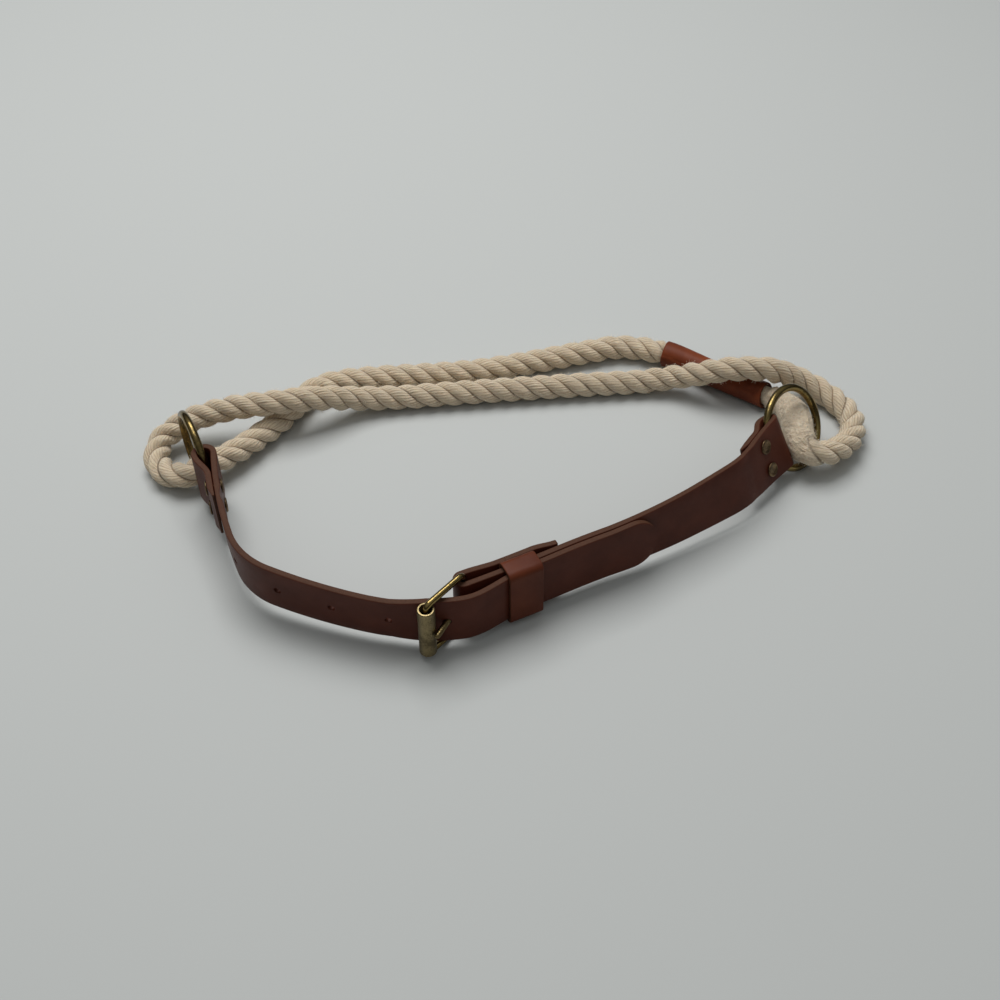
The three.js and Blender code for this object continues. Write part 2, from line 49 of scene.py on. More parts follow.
# The rope: soft cotton, 12 mm thick, three strands laid up to the right. It is one closed loop through both
# rings, and its ends meet in the leather sleeve. The points are the middle of the rope, from end to end.
ROPE_DIAMETER = 0.012
ROPE_POINTS = [
    (0.1008, 0.0704, 0.0066), (0.0783, 0.0861, 0.0066), (0.0559, 0.0917, 0.006), (0.0403, 0.0883, 0.006),
    (-0.014, 0.0741, 0.006), (-0.0804, 0.0662, 0.006), (-0.0937, 0.0602, 0.006), (-0.1097, 0.0362, 0.006),
    (-0.1282, 0.0125, 0.009), (-0.1372, 0.0043, 0.0106), (-0.1447, 0.0003, 0.009), (-0.1547, 0.0027, 0.0068),
    (-0.1617, 0.0122, 0.0063), (-0.1602, 0.0237, 0.0085), (-0.1482, 0.0312, 0.013), (-0.1302, 0.0349, 0.017),
    (-0.1087, 0.0373, 0.0186), (-0.0895, 0.0437, 0.0155), (-0.0707, 0.0512, 0.0085), (-0.0485, 0.055, 0.006),
    (0.064, 0.0657, 0.0062), (0.0798, 0.0657, 0.009), (0.0906, 0.0625, 0.014), (0.1016, 0.0597, 0.019),
    (0.1124, 0.0593, 0.0202), (0.1247, 0.0598, 0.019), (0.1394, 0.0623, 0.011), (0.1521, 0.0571, 0.0066),
    (0.1608, 0.0447, 0.006), (0.162, 0.0351, 0.0063), (0.1579, 0.0238, 0.0075), (0.1498, 0.0149, 0.0098),
    (0.1414, 0.0106, 0.0118), (0.1349, 0.0115, 0.0132), (0.1329, 0.0191, 0.0134), (0.1339, 0.0312, 0.012),
    (0.1329, 0.0422, 0.0096), (0.1292, 0.0502, 0.0074), (0.1239, 0.0553, 0.0066), (0.1015, 0.0699, 0.0066),
]
SLEEVE_HALF = 0.0285


def smooth_line(points, step):
    """A centripetal Catmull-Rom line through the points, walked at an even step."""
    points = [Vector(p) for p in points]
    ends = [2 * points[0] - points[1], *points, 2 * points[-1] - points[-2]]
    fine = []
    for p0, p1, p2, p3 in zip(ends, ends[1:], ends[2:], ends[3:]):
        t1 = max((p1 - p0).length, 1e-9) ** 0.5
        t2 = t1 + max((p2 - p1).length, 1e-9) ** 0.5
        t3 = t2 + max((p3 - p2).length, 1e-9) ** 0.5
        for i in range(24):
            t = t1 + (t2 - t1) * i / 24
            a1 = p0 * (t1 - t) / t1 + p1 * t / t1
            a2 = p1 * (t2 - t) / (t2 - t1) + p2 * (t - t1) / (t2 - t1)
            a3 = p2 * (t3 - t) / (t3 - t2) + p3 * (t - t2) / (t3 - t2)
            b1 = a1 * (t2 - t) / t2 + a2 * t / t2
            b2 = a2 * (t3 - t) / (t3 - t1) + a3 * (t - t1) / (t3 - t1)
            fine.append(b1 * (t2 - t) / (t2 - t1) + b2 * (t - t1) / (t2 - t1))
    fine.append(points[-1])
    gone = [0.0]
    for a, b in zip(fine, fine[1:]):
        gone.append(gone[-1] + (b - a).length)
    count = round(gone[-1] / step)
    line = []
    at = 0
    for i in range(count + 1):
        want = gone[-1] * i / count
        while at < len(fine) - 2 and gone[at + 1] < want:
            at += 1
        share = (want - gone[at]) / (gone[at + 1] - gone[at])
        line.append(fine[at].lerp(fine[at + 1], share))
    return line


def line_length(line):
    return sum((b - a).length for a, b in zip(line, line[1:]))


ROPE_STEP = 0.001
rope_line = smooth_line(ROPE_POINTS, ROPE_STEP)
for point in rope_line:
    point.z = max(point.z, ROPE_DIAMETER / 2)


def line_object(name, line, closed=False):
    """A chain of edges along a line, for a node tree to work on."""
    count = len(line)
    mesh = bpy.data.meshes.new(name)
    mesh.from_pydata(line, [(i, (i + 1) % count) for i in range(count if closed else count - 1)], [])
    piece = bpy.data.objects.new(name, mesh)
    bpy.context.collection.objects.link(piece)
    return piece


class Nodes:
    """Short forms for the nodes of one tree. Inputs are given by name or place, as a value or a socket."""

    def __init__(self, tree):
        self.tree = tree

    def give(self, node, inputs):
        for key, value in inputs.items():
            if isinstance(value, bpy.types.NodeSocket):
                self.tree.links.new(value, node.inputs[key])
            else:
                node.inputs[key].default_value = value

    def put(self, kind, inputs=None, **settings):
        node = self.tree.nodes.new(kind)
        for key, value in settings.items():
            setattr(node, key, value)
        self.give(node, inputs or {})
        return node

    def math(self, operation, *terms):
        return self.put("ShaderNodeMath", dict(enumerate(terms)), operation=operation).outputs[0]

    def scaled(self, vector, scale):
        return self.put("ShaderNodeVectorMath", {0: vector, "Scale": scale}, operation="SCALE").outputs[0]

    def noise(self, place, scale, detail=2.0, roughness=0.5):
        inputs = {"Vector": place, "Scale": scale, "Detail": detail, "Roughness": roughness}
        return self.put("ShaderNodeTexNoise", inputs).outputs["Fac"]

    def remap(self, value, from_low, from_high, to_low=0.0, to_high=1.0, soft=False):
        inputs = dict(enumerate((value, from_low, from_high, to_low, to_high)))
        step = "SMOOTHSTEP" if soft else "LINEAR"
        return self.put("ShaderNodeMapRange", inputs, interpolation_type=step).outputs[0]

    def between(self, share, first, second):
        return self.put("ShaderNodeMix", {0: share, 2: first, 3: second}).outputs[0]

    def blend(self, share, first, second):
        """Mixes two colours."""
        first, second = ((*c, 1) if isinstance(c, tuple) else c for c in (first, second))
        return self.put("ShaderNodeMix", {0: share, 6: first, 7: second}, data_type="RGBA").outputs[2]

    def attribute(self, name):
        return self.put("ShaderNodeAttribute", attribute_name=name).outputs["Fac"]

    def place(self):
        return self.put("ShaderNodeTexCoord").outputs["Object"]

    def named(self, name, kind="FLOAT"):
        found = self.put("GeometryNodeInputNamedAttribute", {"Name": name}, data_type=kind)
        return found.outputs["Attribute"]

    def store(self, geometry, name, value, kind="FLOAT"):
        inputs = {"Geometry": geometry, "Name": name, "Value": value}
        stored = self.put("GeometryNodeStoreNamedAttribute", inputs, data_type=kind, domain="POINT")
        return stored.outputs["Geometry"]

    def sweep(self, curve, section, inputs=None):
        """A closed body: a section drawn along a curve."""
        inputs = {"Curve": curve, "Profile Curve": section, "Fill Caps": True, **(inputs or {})}
        return self.put("GeometryNodeCurveToMesh", inputs).outputs["Mesh"]

    def circle(self, sides, radius):
        inputs = {"Resolution": sides, "Radius": radius}
        return self.put("GeometryNodeCurvePrimitiveCircle", inputs, mode="RADIUS").outputs["Curve"]

    def dress(self, geometry, material):
        """Ends a geometry tree: instances made real, and the material set."""
        real = self.put("GeometryNodeRealizeInstances", {"Geometry": geometry}).outputs["Geometry"]
        dressed = self.put("GeometryNodeSetMaterial", {"Geometry": real, "Material": material})
        self.put("NodeGroupOutput", {"Geometry": dressed.outputs["Geometry"]})


def new_tree(name, inputs, outputs=None, kind="GeometryNodeTree"):
    """A node tree with named inputs, and its input sockets. A geometry tree has a geometry in and out too."""
    tree = bpy.data.node_groups.new(name, kind)
    through = {"Geometry": "Geometry"} if kind == "GeometryNodeTree" else {}
    for direction, sockets in (("INPUT", {**through, **inputs}), ("OUTPUT", outputs or through)):
        for label, socket in sockets.items():
            tree.interface.new_socket(label, in_out=direction, socket_type=f"NodeSocket{socket}")
    return Nodes(tree), tree.nodes.new("NodeGroupInput").outputs


def grow(piece, nodes, values):
    """Runs a tree on a piece with its own values, and keeps the result as a plain mesh."""
    modifier = piece.modifiers.new("grow", "NODES")
    modifier.node_group = nodes.tree
    for item in nodes.tree.interface.items_tree:
        if item.in_out == "INPUT" and item.name in values:
            modifier[item.identifier] = values[item.name]
    return settle(piece)


def settle(piece):
    """Replaces a piece's mesh with what its modifiers make of it."""
    bpy.context.view_layer.update()
    mesh = bpy.data.meshes.new_from_object(piece.evaluated_get(bpy.context.evaluated_depsgraph_get()))
    piece.modifiers.clear()
    old = piece.data
    piece.data = mesh
    bpy.data.meshes.remove(old)
    mesh.name = piece.name
    return piece


def new_look(name):
    """A new material, its nodes and its shader."""
    material = bpy.data.materials.new(name)
    material.use_nodes = True
    return material, Nodes(material.node_tree), material.node_tree.nodes["Principled BSDF"]


# The lay of the rope: each strand goes once round in LAY, and bulges between narrow grooves. Yarns run nearly
# along the rope over every strand. Pulled through a ring it is combed smooth, and the sleeve squeezes it.
LAY = 0.0278
STRANDS = 3
STRAND_RADIUS = 0.0037
SQUEEZED = 0.74
SWELLING = 0.22
GROOVE_FILL = 0.97
COMBED_POINTS = (34, 37)  # how many of the rope's points lie before the combed stretch, and before its end
COMBING_RUN = (0.006, 0.004)
LOOSENING_RUN = (0.006, 0.008)
SQUEEZING_RUN = (0.001, 0.0016)


def eased_step(low, high, value):
    share = min(max((value - low) / (high - low), 0.0), 1.0)
    return share * share * (3 - 2 * share)


def eased_over(middle, run, value):
    """Goes from 0 to 1 round a place: a run that starts before it and ends after it."""
    return eased_step(middle - run[0], middle + run[1], value)


def number_attribute(mesh, name, values):
    attribute = mesh.attributes.new(name, "FLOAT", "POINT")
    attribute.data.foreach_set("value", values)


rope_length = line_length(rope_line)
trimmed = rope_line[1:-1]
rope = line_object("cotton_rope", trimmed)
combed_from, combed_to = (line_length(smooth_line(ROPE_POINTS[:n], ROPE_STEP)) for n in COMBED_POINTS)
girth = []
combed = []
for i in range(len(trimmed)):
    s = (i + 1) * ROPE_STEP
    from_sleeve = min(s, rope_length - s) - SLEEVE_HALF
    combed.append(eased_over(combed_from, COMBING_RUN, s))
    swelling = SWELLING * combed[-1] * (1 - eased_over(combed_to, LOOSENING_RUN, s))
    squeeze = SQUEEZED + (1 - SQUEEZED) * eased_over(0, SQUEEZING_RUN, from_sleeve)
    girth.append(squeeze * (1 + swelling))
number_attribute(rope.data, "girth", girth)
number_attribute(rope.data, "combed", combed)

lay, given = new_tree("lay_three_strands", {
    "Diameter": "Float", "Lay": "Float", "Strand Radius": "Float", "Sides": "Int", "Cotton": "Material",
})

# Across the rope: three bulges, each an arc of a circle of the strand's radius, deepest between two strands
position = lay.put("GeometryNodeInputPosition").outputs[0]
around = lay.math("DIVIDE", lay.put("GeometryNodeInputIndex").outputs[0], given["Sides"])
in_strand = lay.math("SUBTRACT", lay.math("FRACT", lay.math("MULTIPLY", around, STRANDS)), 0.5)
angle = lay.math("MULTIPLY", in_strand, 2 * math.pi / STRANDS)
half_rope = lay.math("MULTIPLY", given["Diameter"], 0.5)
strand_out = lay.math("SUBTRACT", half_rope, given["Strand Radius"])
sideways = lay.math("MULTIPLY", strand_out, lay.math("SINE", angle))
squares = [lay.math("MULTIPLY", side, side) for side in (given["Strand Radius"], sideways)]
bulge = lay.math("SQRT", lay.math("SUBTRACT", *squares))
reach = lay.math("ADD", lay.math("MULTIPLY", strand_out, lay.math("COSINE", angle)), bulge)
section = lay.put("GeometryNodeSetPosition", {
    "Geometry": lay.circle(given["Sides"], 1.0), "Position": lay.scaled(position, reach),
}).outputs["Geometry"]
strand_side = lay.math("MULTIPLY", lay.math("ABSOLUTE", in_strand), 2.0)
for name, value in (("strand_side", strand_side), ("around", around), ("reach", reach)):
    section = lay.store(section, name, value)

# Along the rope: the section turns once in each lay
curve = lay.put("GeometryNodeMeshToCurve", {"Mesh": given["Geometry"]}).outputs["Curve"]
gone = lay.put("GeometryNodeSplineParameter").outputs["Length"]
turn = lay.math("MULTIPLY", lay.math("DIVIDE", gone, given["Lay"]), 2 * math.pi)
curve = lay.store(curve, "along", gone)
curve = lay.store(curve, "middle", position, "FLOAT_VECTOR")
curve = lay.put("GeometryNodeSetCurveTilt", {"Curve": curve, "Tilt": turn}).outputs["Curve"]
laid = lay.sweep(curve, section, {"Scale": lay.named("girth")})

# Where the rope is combed smooth, the grooves are filled up
fill = lay.math("SUBTRACT", lay.math("DIVIDE", half_rope, lay.named("reach")), 1.0)
fill = lay.math("MULTIPLY", lay.math("MULTIPLY", fill, lay.named("combed")), GROOVE_FILL)
from_middle = lay.put(
    "ShaderNodeVectorMath", {0: position, 1: lay.named("middle", "FLOAT_VECTOR")}, operation="SUBTRACT",
).outputs[0]
filled = lay.put("GeometryNodeSetPosition", {"Geometry": laid, "Offset": lay.scaled(from_middle, fill)})
smoothed = lay.put("GeometryNodeSetShadeSmooth", {"Geometry": filled.outputs["Geometry"]})
lay.dress(smoothed.outputs["Geometry"], given["Cotton"])

# Yarns: streaks that keep their place round the rope while the strands turn under them
YARNS = 6.0
YARNS_ROUND = 27
cotton, nodes, shader = new_look("undyed_cotton")
along, around, strand_side, combed_mask = map(nodes.attribute, ("along", "around", "strand_side", "combed"))
turned = nodes.math("ADD", around, nodes.math("DIVIDE", along, LAY))
turned_angle = nodes.math("MULTIPLY", turned, 2 * math.pi)
strand = nodes.math("FLOOR", nodes.math("MULTIPLY", around, STRANDS))
yarn_place = nodes.put("ShaderNodeCombineXYZ", {
    "X": nodes.math("MULTIPLY", nodes.math("COSINE", turned_angle), YARNS),
    "Y": nodes.math("MULTIPLY", nodes.math("SINE", turned_angle), YARNS),
    "Z": nodes.math("ADD", nodes.math("MULTIPLY", along, 130.0), nodes.math("MULTIPLY", strand, 7.3)),
}).outputs[0]
yarns = nodes.noise(yarn_place, 1.0, 5.0, 0.68)
place = nodes.place()
fluff = nodes.noise(place, 2600.0)
patches = nodes.noise(place, 45.0, 3.0)
lumps = nodes.noise(place, 260.0, 4.0, 0.6)
# Painted shade: the grooves between the strands are painted a dark warm brown, except where the rope is
# combed smooth.
painted_groove_shade = nodes.remap(strand_side, 0.82, 0.99, soft=True)
painted_groove_shade = nodes.math("MULTIPLY", painted_groove_shade, nodes.math("SUBTRACT", 1.0, combed_mask))
yarn_phase = nodes.math("MULTIPLY_ADD", yarns, 8.5, nodes.math("MULTIPLY", turned_angle, YARNS_ROUND))
yarn_wave = nodes.math("MULTIPLY_ADD", nodes.math("COSINE", yarn_phase), 0.5, 0.5)
laid_mask = nodes.math("MULTIPLY_ADD", combed_mask, -0.75, 1.0)
# Painted shade: the gaps between the yarns are darkened in the colour, and the same gaps sink a little in the
# relief.
between = nodes.math("SUBTRACT", 1.0, nodes.remap(yarn_wave, 0.0, 0.5))
between = nodes.math("MULTIPLY", between, laid_mask)
streak = nodes.remap(yarns, 0.3, 0.62, 0.55)
streak = nodes.math("MULTIPLY", streak, nodes.math("MULTIPLY_ADD", between, -0.55, 1.0))
ecru = nodes.blend(streak, (0.52, 0.36, 0.215), (0.93, 0.785, 0.585))
ecru = nodes.blend(nodes.remap(patches, 0.4, 0.8, 0.0, 0.3), ecru, (0.82, 0.66, 0.45))
# Painted shade: on the combed stretch the low places of the lumps are painted greyish brown.
painted_lump_shade = nodes.math("MULTIPLY", nodes.remap(lumps, 0.36, 0.62, 0.75, 0.15), combed_mask)
ecru = nodes.blend(painted_lump_shade, ecru, (0.56, 0.44, 0.31))
height = nodes.math("MULTIPLY_ADD", between, -0.25, nodes.math("MULTIPLY_ADD", fluff, 0.3, yarns))
height = nodes.math("MULTIPLY_ADD", nodes.math("MULTIPLY", combed_mask, lumps), 4.0, height)
bump = nodes.put("ShaderNodeBump", {"Strength": 1.0, "Distance": 0.0014, "Height": height})
# The base colour lays the painted groove shade over the cotton colour.
nodes.give(shader, {
    "Base Color": nodes.blend(nodes.math("MULTIPLY", painted_groove_shade, 0.85), ecru, (0.29, 0.165, 0.08)),
    "Normal": bump.outputs[0],
    "Roughness": 0.95,
    "Subsurface Weight": 0.35,
    "Subsurface Radius": (1.0, 0.8, 0.6),
    "Subsurface Scale": 0.0015,
    "Specular IOR Level": 0.2,
    "Sheen Weight": 0.35,
    "Sheen Roughness": 0.6,
    "Sheen Tint": (1.0, 0.93, 0.82, 1),
})

grow(rope, lay, {
    "Diameter": ROPE_DIAMETER, "Lay": LAY, "Strand Radius": STRAND_RADIUS, "Sides": 42, "Cotton": cotton,
})
rope.data.materials.clear()
rope.data.materials.append(cotton)

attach(rope, "root")
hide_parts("rope")


# Fine fluff stands off the cotton all along the rope, except close to the table: short loose fibres, each a
# thin bent hair, paler than the yarns they have come out of.
fibres, given = new_tree("loose_fibres", {
    "Count Per Area": "Float", "Seed": "Int", "Thickness": "Float", "Clear Of Table": "Float",
    "Cotton": "Material",
})
position = fibres.put("GeometryNodeInputPosition").outputs[0]
above = fibres.put("ShaderNodeSeparateXYZ", {0: position}).outputs["Z"]
off_table = fibres.put("FunctionNodeCompare", {
    0: above, 1: given["Clear Of Table"],
}, data_type="FLOAT", operation="GREATER_THAN")
scattered = fibres.put("GeometryNodeDistributePointsOnFaces", {
    "Mesh": given["Geometry"],
    "Density": given["Count Per Area"],
    "Seed": given["Seed"],
    "Selection": off_table.outputs[0],
}).outputs
hair = fibres.put("GeometryNodeCurveQuadraticBezier", {
    "Resolution": 3, "Start": (0, 0, -0.0002), "Middle": (0, 0, 0.0006), "End": (0.0007, 0.0002, 0.0009),
})
tip_over = fibres.put("FunctionNodeRandomValue", {
    "Min": (-0.9, -0.9, -3.14), "Max": (0.9, 0.9, 3.14), "Seed": given["Seed"],
}, data_type="FLOAT_VECTOR")
to_turn = fibres.put("FunctionNodeEulerToRotation", {"Euler": tip_over.outputs["Value"]})
turned_hair = fibres.put("FunctionNodeRotateRotation", {
    "Rotation": scattered["Rotation"], "Rotate By": to_turn.outputs["Rotation"],
}, rotation_space="LOCAL")
longer = fibres.put("FunctionNodeRandomValue", {2: 0.6, 3: 1.5}, data_type="FLOAT")
planted = fibres.put("GeometryNodeInstanceOnPoints", {
    "Points": scattered["Points"],
    "Instance": fibres.sweep(hair.outputs["Curve"], fibres.circle(3, given["Thickness"])),
    "Rotation": turned_hair.outputs["Rotation"],
    "Scale": longer.outputs[1],
})
fibres.dress(planted.outputs["Instances"], given["Cotton"])

fibre, nodes, shader = new_look("loose_cotton_fibre")
shade = nodes.noise(nodes.place(), 300.0)
nodes.give(shader, {
    "Roughness": 0.9,
    "Base Color": nodes.blend(shade, (0.86, 0.75, 0.57), (0.98, 0.9, 0.75)),
})

fluff_mesh = rope.data.copy()
fluff_piece = bpy.data.objects.new("cotton_fluff", fluff_mesh)
bpy.context.collection.objects.link(fluff_piece)
grow(fluff_piece, fibres, {
    "Count Per Area": 300000.0, "Seed": 4, "Thickness": 0.000032, "Clear Of Table": 0.0035, "Cotton": fibre,
})
fluff_piece.data.materials.clear()
fluff_piece.data.materials.append(fibre)
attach(fluff_piece, "root")


# The straps: chestnut leather, 25 mm wide and 2.6 mm thick, with cut edges of a duller brown. They stand on
# edge and bend from place to place. The strap with the buckle turns back round the heel bar and round the
# right ring. Sizes are in millimetres.
MM = 0.001
GAP = 0.3
STRAP_WIDTH = 25
STRAP_THICKNESS = 2.6
LAYER_STEP = STRAP_THICKNESS + GAP
STRAP_STEP = 1.5
SKIVED_END = 6
BUCKLE_STRAP_LENGTH = 173.7
FRAME_WIRE = 2.8
FRAME_HEIGHT = 33
RING_DIAMETER = 40
RING_WIRE = 3.6
RING_RADIUS = (RING_DIAMETER - RING_WIRE) / 2
PRONG_WIRE = 2.6
SLOT_LENGTH = 9
KEEPER_AT = 23.6
KEEPER_THICKNESS = 1.8
BUCKLE_FOLD_LENGTH = 43
RIVET_SHANK = 2.6
RIVET_SPREAD = 12
RING_FOLDS = {
    "right": {"bend": 3.5, "back": 30, "rivets": 17.3, "out": 9, "aside": 3.5, "turn": 3},
    "left": {"bend": 4.2, "back": 31, "rivets": 20.5, "out": 7.4, "aside": 9.7, "turn": 19.5},
}
HEEL = Vector((-18.9, -77.1, FRAME_HEIGHT / 2))
HEEL_TURN = FRAME_WIRE / 2 + GAP + STRAP_THICKNESS / 2
BUCKLE_STRAP_HEADING = 24.5
BUCKLE_STRAP_BENDS = [  # share of the length, degrees turned left, lean of the top to the left
    (0.25, 3, 3),
    (0.125, -3.5, 3),
    (0.25, 9.5, 12),
    (0.125, 2, 18),
    (0.1, 18, 22),
    (0.15, -6.5, 35),
]
RING_FOLD_SPREAD = {  # share of the turned-back layer, how far it stands off
    "right": [(0.18, 1), (0.54, 0), (0.75, 0), (1, 0.25)],
    "left": [(0.17, 1), (0.6, 0), (1, 0)],
}
WIRE_SPREAD = [(0.05, 1), (0.37, 0), (1, 0)]
KEEPER_SPREAD = [(0.05, 0), (0.37, 1), (0.74, 1), (1, 0.2)]


def way(degrees):
    angle = math.radians(degrees)
    return Vector((math.cos(angle), math.sin(angle), 0))


def width_way(heading, lean):
    angle = math.radians(lean)
    return Vector((0, 0, math.cos(angle))) + way(heading + 90) * math.sin(angle)


def walk(start, heading, bends, length, height_at):
    """Stations along a strap: how far along, the middle of its thickness, its heading, and the way across."""
    stations = []
    at = start.copy()
    gone = 0.0
    lean = 0.0

    def note(heading, lean):
        at.z = height_at(gone / length)
        stations.append((gone, at.copy(), heading, width_way(heading, lean)))

    note(heading, lean)
    for share, turn, new_lean in bends:
        steps = math.ceil(share * length / STRAP_STEP)
        step = share * length / steps
        for i in range(1, steps + 1):
            at += way(heading + turn * (i - 0.5) / steps) * step
            gone += step
            note(heading + turn * i / steps, lean + (new_lean - lean) * i / steps)
        heading += turn
        lean = new_lean
    return stations


def station_at(stations, s):
    after = next((i for i, station in enumerate(stations) if station[0] >= s), len(stations) - 1) or 1
    a, b = stations[after - 1], stations[after]
    share = (s - a[0]) / (b[0] - a[0])
    heading = a[2] + (b[2] - a[2]) * share
    return (s, a[1].lerp(b[1], share), heading, a[3].lerp(b[3], share).normalized())


def left_of(station):
    return station[3].cross(way(station[2])).normalized()


def beside(station, distance):
    return (station[0], station[1] + left_of(station) * distance, station[2], station[3])


def from_table(rows, share):
    if share <= rows[0][0]:
        return rows[0][1]
    for (low, a), (high, b) in zip(rows, rows[1:]):
        if share <= high:
            return a + (b - a) * eased_step(low, high, share)
    return rows[-1][1]


def height_towards(fold, lean):
    angle = math.radians(lean)
    end = RING_RADIUS * math.cos(angle) + RING_WIRE / 2 + fold["aside"] * math.sin(angle)
    return lambda share: FRAME_HEIGHT / 2 + (end - FRAME_HEIGHT / 2) * eased_step(0, 1, share)


def turn_round(middle, up, arm, radius, steps=20):
    """Half a turn to the left round a post, as (point, way of the width)."""
    return [
        (middle + Matrix.Rotation(math.pi * i / steps, 3, up) @ arm * radius, up)
        for i in range(1, steps)
    ]


def ring_end(stations, length, place):
    """The run up to a ring, the turn round its wire and the layer that comes back."""
    fold = RING_FOLDS[place]
    turn_at = STRAP_THICKNESS / 2 + fold["bend"]
    turn = station_at(stations, length - turn_at)
    run = [(s[1], s[3]) for s in stations if s[0] < turn[0] - 0.7]
    middle = beside(turn, fold["bend"])[1]
    layer = []
    count = math.ceil((fold["back"] - turn_at) / 0.9)
    for i in range(count + 1):
        back = turn_at + (fold["back"] - turn_at) * i / count
        spread = from_table(RING_FOLD_SPREAD[place], back / fold["back"])
        distance = LAYER_STEP + (2 * fold["bend"] - LAYER_STEP) * spread
        station = beside(station_at(stations, length - back), distance)
        layer.append((station[1], station[3]))
    return [*run, (turn[1], turn[3]), *turn_round(middle, turn[3], -left_of(turn), fold["bend"]), *layer]


def leather_strip(name, line, width, thickness, corner=0.45, closed=False, narrow=None, skive=0):
    """A strip of leather along (point, way of the width), with rounded corners, blunt ends and marked edges.

    Its map runs along the strip and round it, in metres. A skived end is pared thin over that length."""
    outline = []
    across, half = thickness / 2, width / 2
    for sx, sy, first in ((1, 1, 0), (-1, 1, 90), (-1, -1, 180), (1, -1, 270)):
        for step in (0, 30, 60, 90):
            angle = math.radians(first + step)
            x = sx * (across - corner) + corner * math.cos(angle)
            y = sy * (half - corner) + corner * math.sin(angle)
            outline.append((x, y, abs(math.sin(angle))))
        if first in (90, 270):
            for share in (0.25, 0.5, 0.75):
                outline.append((sx * across, sy * half * (1 - 2 * share), 0.0))
    sides = len(outline)
    round_it = [0.0]
    for a, b in zip(outline, outline[1:] + outline[:1]):
        round_it.append(round_it[-1] + math.hypot(a[0] - b[0], a[1] - b[1]))
    count = len(line)
    rows = []
    for i, (point, up) in enumerate(line):
        if closed:
            ahead, behind = line[(i + 1) % count][0], line[i - 1][0]
        else:
            ahead, behind = line[min(i + 1, count - 1)][0], line[max(i - 1, 0)][0]
        tangent = (ahead - behind).normalized()
        side = up.cross(tangent).normalized()
        rows.append((point, side, tangent.cross(side), tangent, narrow[i] if narrow else 1.0, 0.0))
    if not closed:
        rim = 0.3
        first, last = rows[0], rows[-1]
        rows[0] = (*first[:5], rim)
        rows[-1] = (*last[:5], rim)
        rows.insert(1, (first[0] + first[3] * rim, *first[1:]))
        rows.insert(-1, (last[0] - last[3] * rim, *last[1:]))
    points = []
    edges = []
    for i, (point, side, up, tangent, thin, inset) in enumerate(rows):
        skived = 0
        if skive and i > len(rows) / 2:
            skived = 0.55 * eased_step(skive, 0, (rows[-1][0] - point).length)
        for x, y, edge in outline:
            x -= math.copysign(min(inset, abs(x)), x)
            y -= math.copysign(min(inset, abs(y)), y) if edge > 0 else 0
            x += (across - x) * skived
            points.append((point + side * x + up * y * thin) * MM)
            edges.append(max(edge, 1.0 if inset else 0.0))
    faces = []
    maps = []
    lengths = [0.0]
    for a, b in zip(rows, rows[1:] + rows[:1]):
        lengths.append(lengths[-1] + (a[0] - b[0]).length)
    total = len(rows)
    for i in range(total if closed else total - 1):
        for j in range(sides):
            k = (j + 1) % sides
            n = (i + 1) % total
            faces.append((i * sides + j, i * sides + k, n * sides + k, n * sides + j))
            u0, u1 = lengths[i] * MM, lengths[i + 1] * MM
            v0, v1 = round_it[j] * MM, round_it[j + 1] * MM
            maps += [(u0, v0), (u0, v1), (u1, v1), (u1, v0)]
    if not closed:
        for row, turned in ((0, True), (total - 1, False)):
            ring = [row * sides + j for j in range(sides)]
            faces.append(tuple(reversed(ring)) if turned else tuple(ring))
            maps += [(lengths[row] * MM, outline[v % sides][1] * MM) for v in faces[-1]]
    mesh = bpy.data.meshes.new(name)
    mesh.from_pydata(points, [], faces)
    mesh.uv_layers.new(name="strip").data.foreach_set("uv", [value for pair in maps for value in pair])
    number_attribute(mesh, "edge", edges)
    piece = bpy.data.objects.new(name, mesh)
    bpy.context.collection.objects.link(piece)
    return piece


def solid(name, points, faces):
    """A closed solid in metres, as an object."""
    mesh = bpy.data.meshes.new(name)
    mesh.from_pydata(points, [], faces)
    piece = bpy.data.objects.new(name, mesh)
    bpy.context.collection.objects.link(piece)
    return piece


def peg(name, middle, axis, diameter, length, sides=32):
    """A round punch along an axis, in millimetres."""
    axis = axis.normalized()
    first = axis.orthogonal().normalized()
    second = axis.cross(first)
    points = []
    for end in (-0.5, 0.5):
        for i in range(sides):
            angle = 2 * math.pi * i / sides
            arm = first * math.cos(angle) + second * math.sin(angle)
            points.append((middle + axis * end * length + arm * diameter / 2) * MM)
    faces = [(i, (i + 1) % sides, sides + (i + 1) % sides, sides + i) for i in range(sides)]
    faces += [tuple(reversed(range(sides))), tuple(range(sides, 2 * sides))]
    return solid(name, points, faces)


def torus(name, place, radius, wire, turns=128, sides=32):
    """A ring of round wire: place is a matrix whose Z is the ring's axis, in millimetres."""
    points = []
    for i in range(turns):
        for j in range(sides):
            a, b = 2 * math.pi * i / turns, 2 * math.pi * j / sides
            out = radius + wire / 2 * math.cos(b)
            points.append(place @ Vector((out * math.cos(a), out * math.sin(a), wire / 2 * math.sin(b))) * MM)
    faces = []
    for i in range(turns):
        for j in range(sides):
            n, k = (i + 1) % turns, (j + 1) % sides
            faces.append((i * sides + j, n * sides + j, n * sides + k, i * sides + k))
    return solid(name, points, faces)


def ring_place(stations, length, place):
    fold = RING_FOLDS[place]
    end = station_at(stations, length)
    middle = beside(end, fold["aside"])[1] + way(end[2]) * fold["out"]
    along = way(end[2] + fold["turn"])
    axis = along.cross(end[3]).normalized()
    return Matrix.Translation(middle) @ Matrix((along, end[3], axis)).transposed().to_4x4()


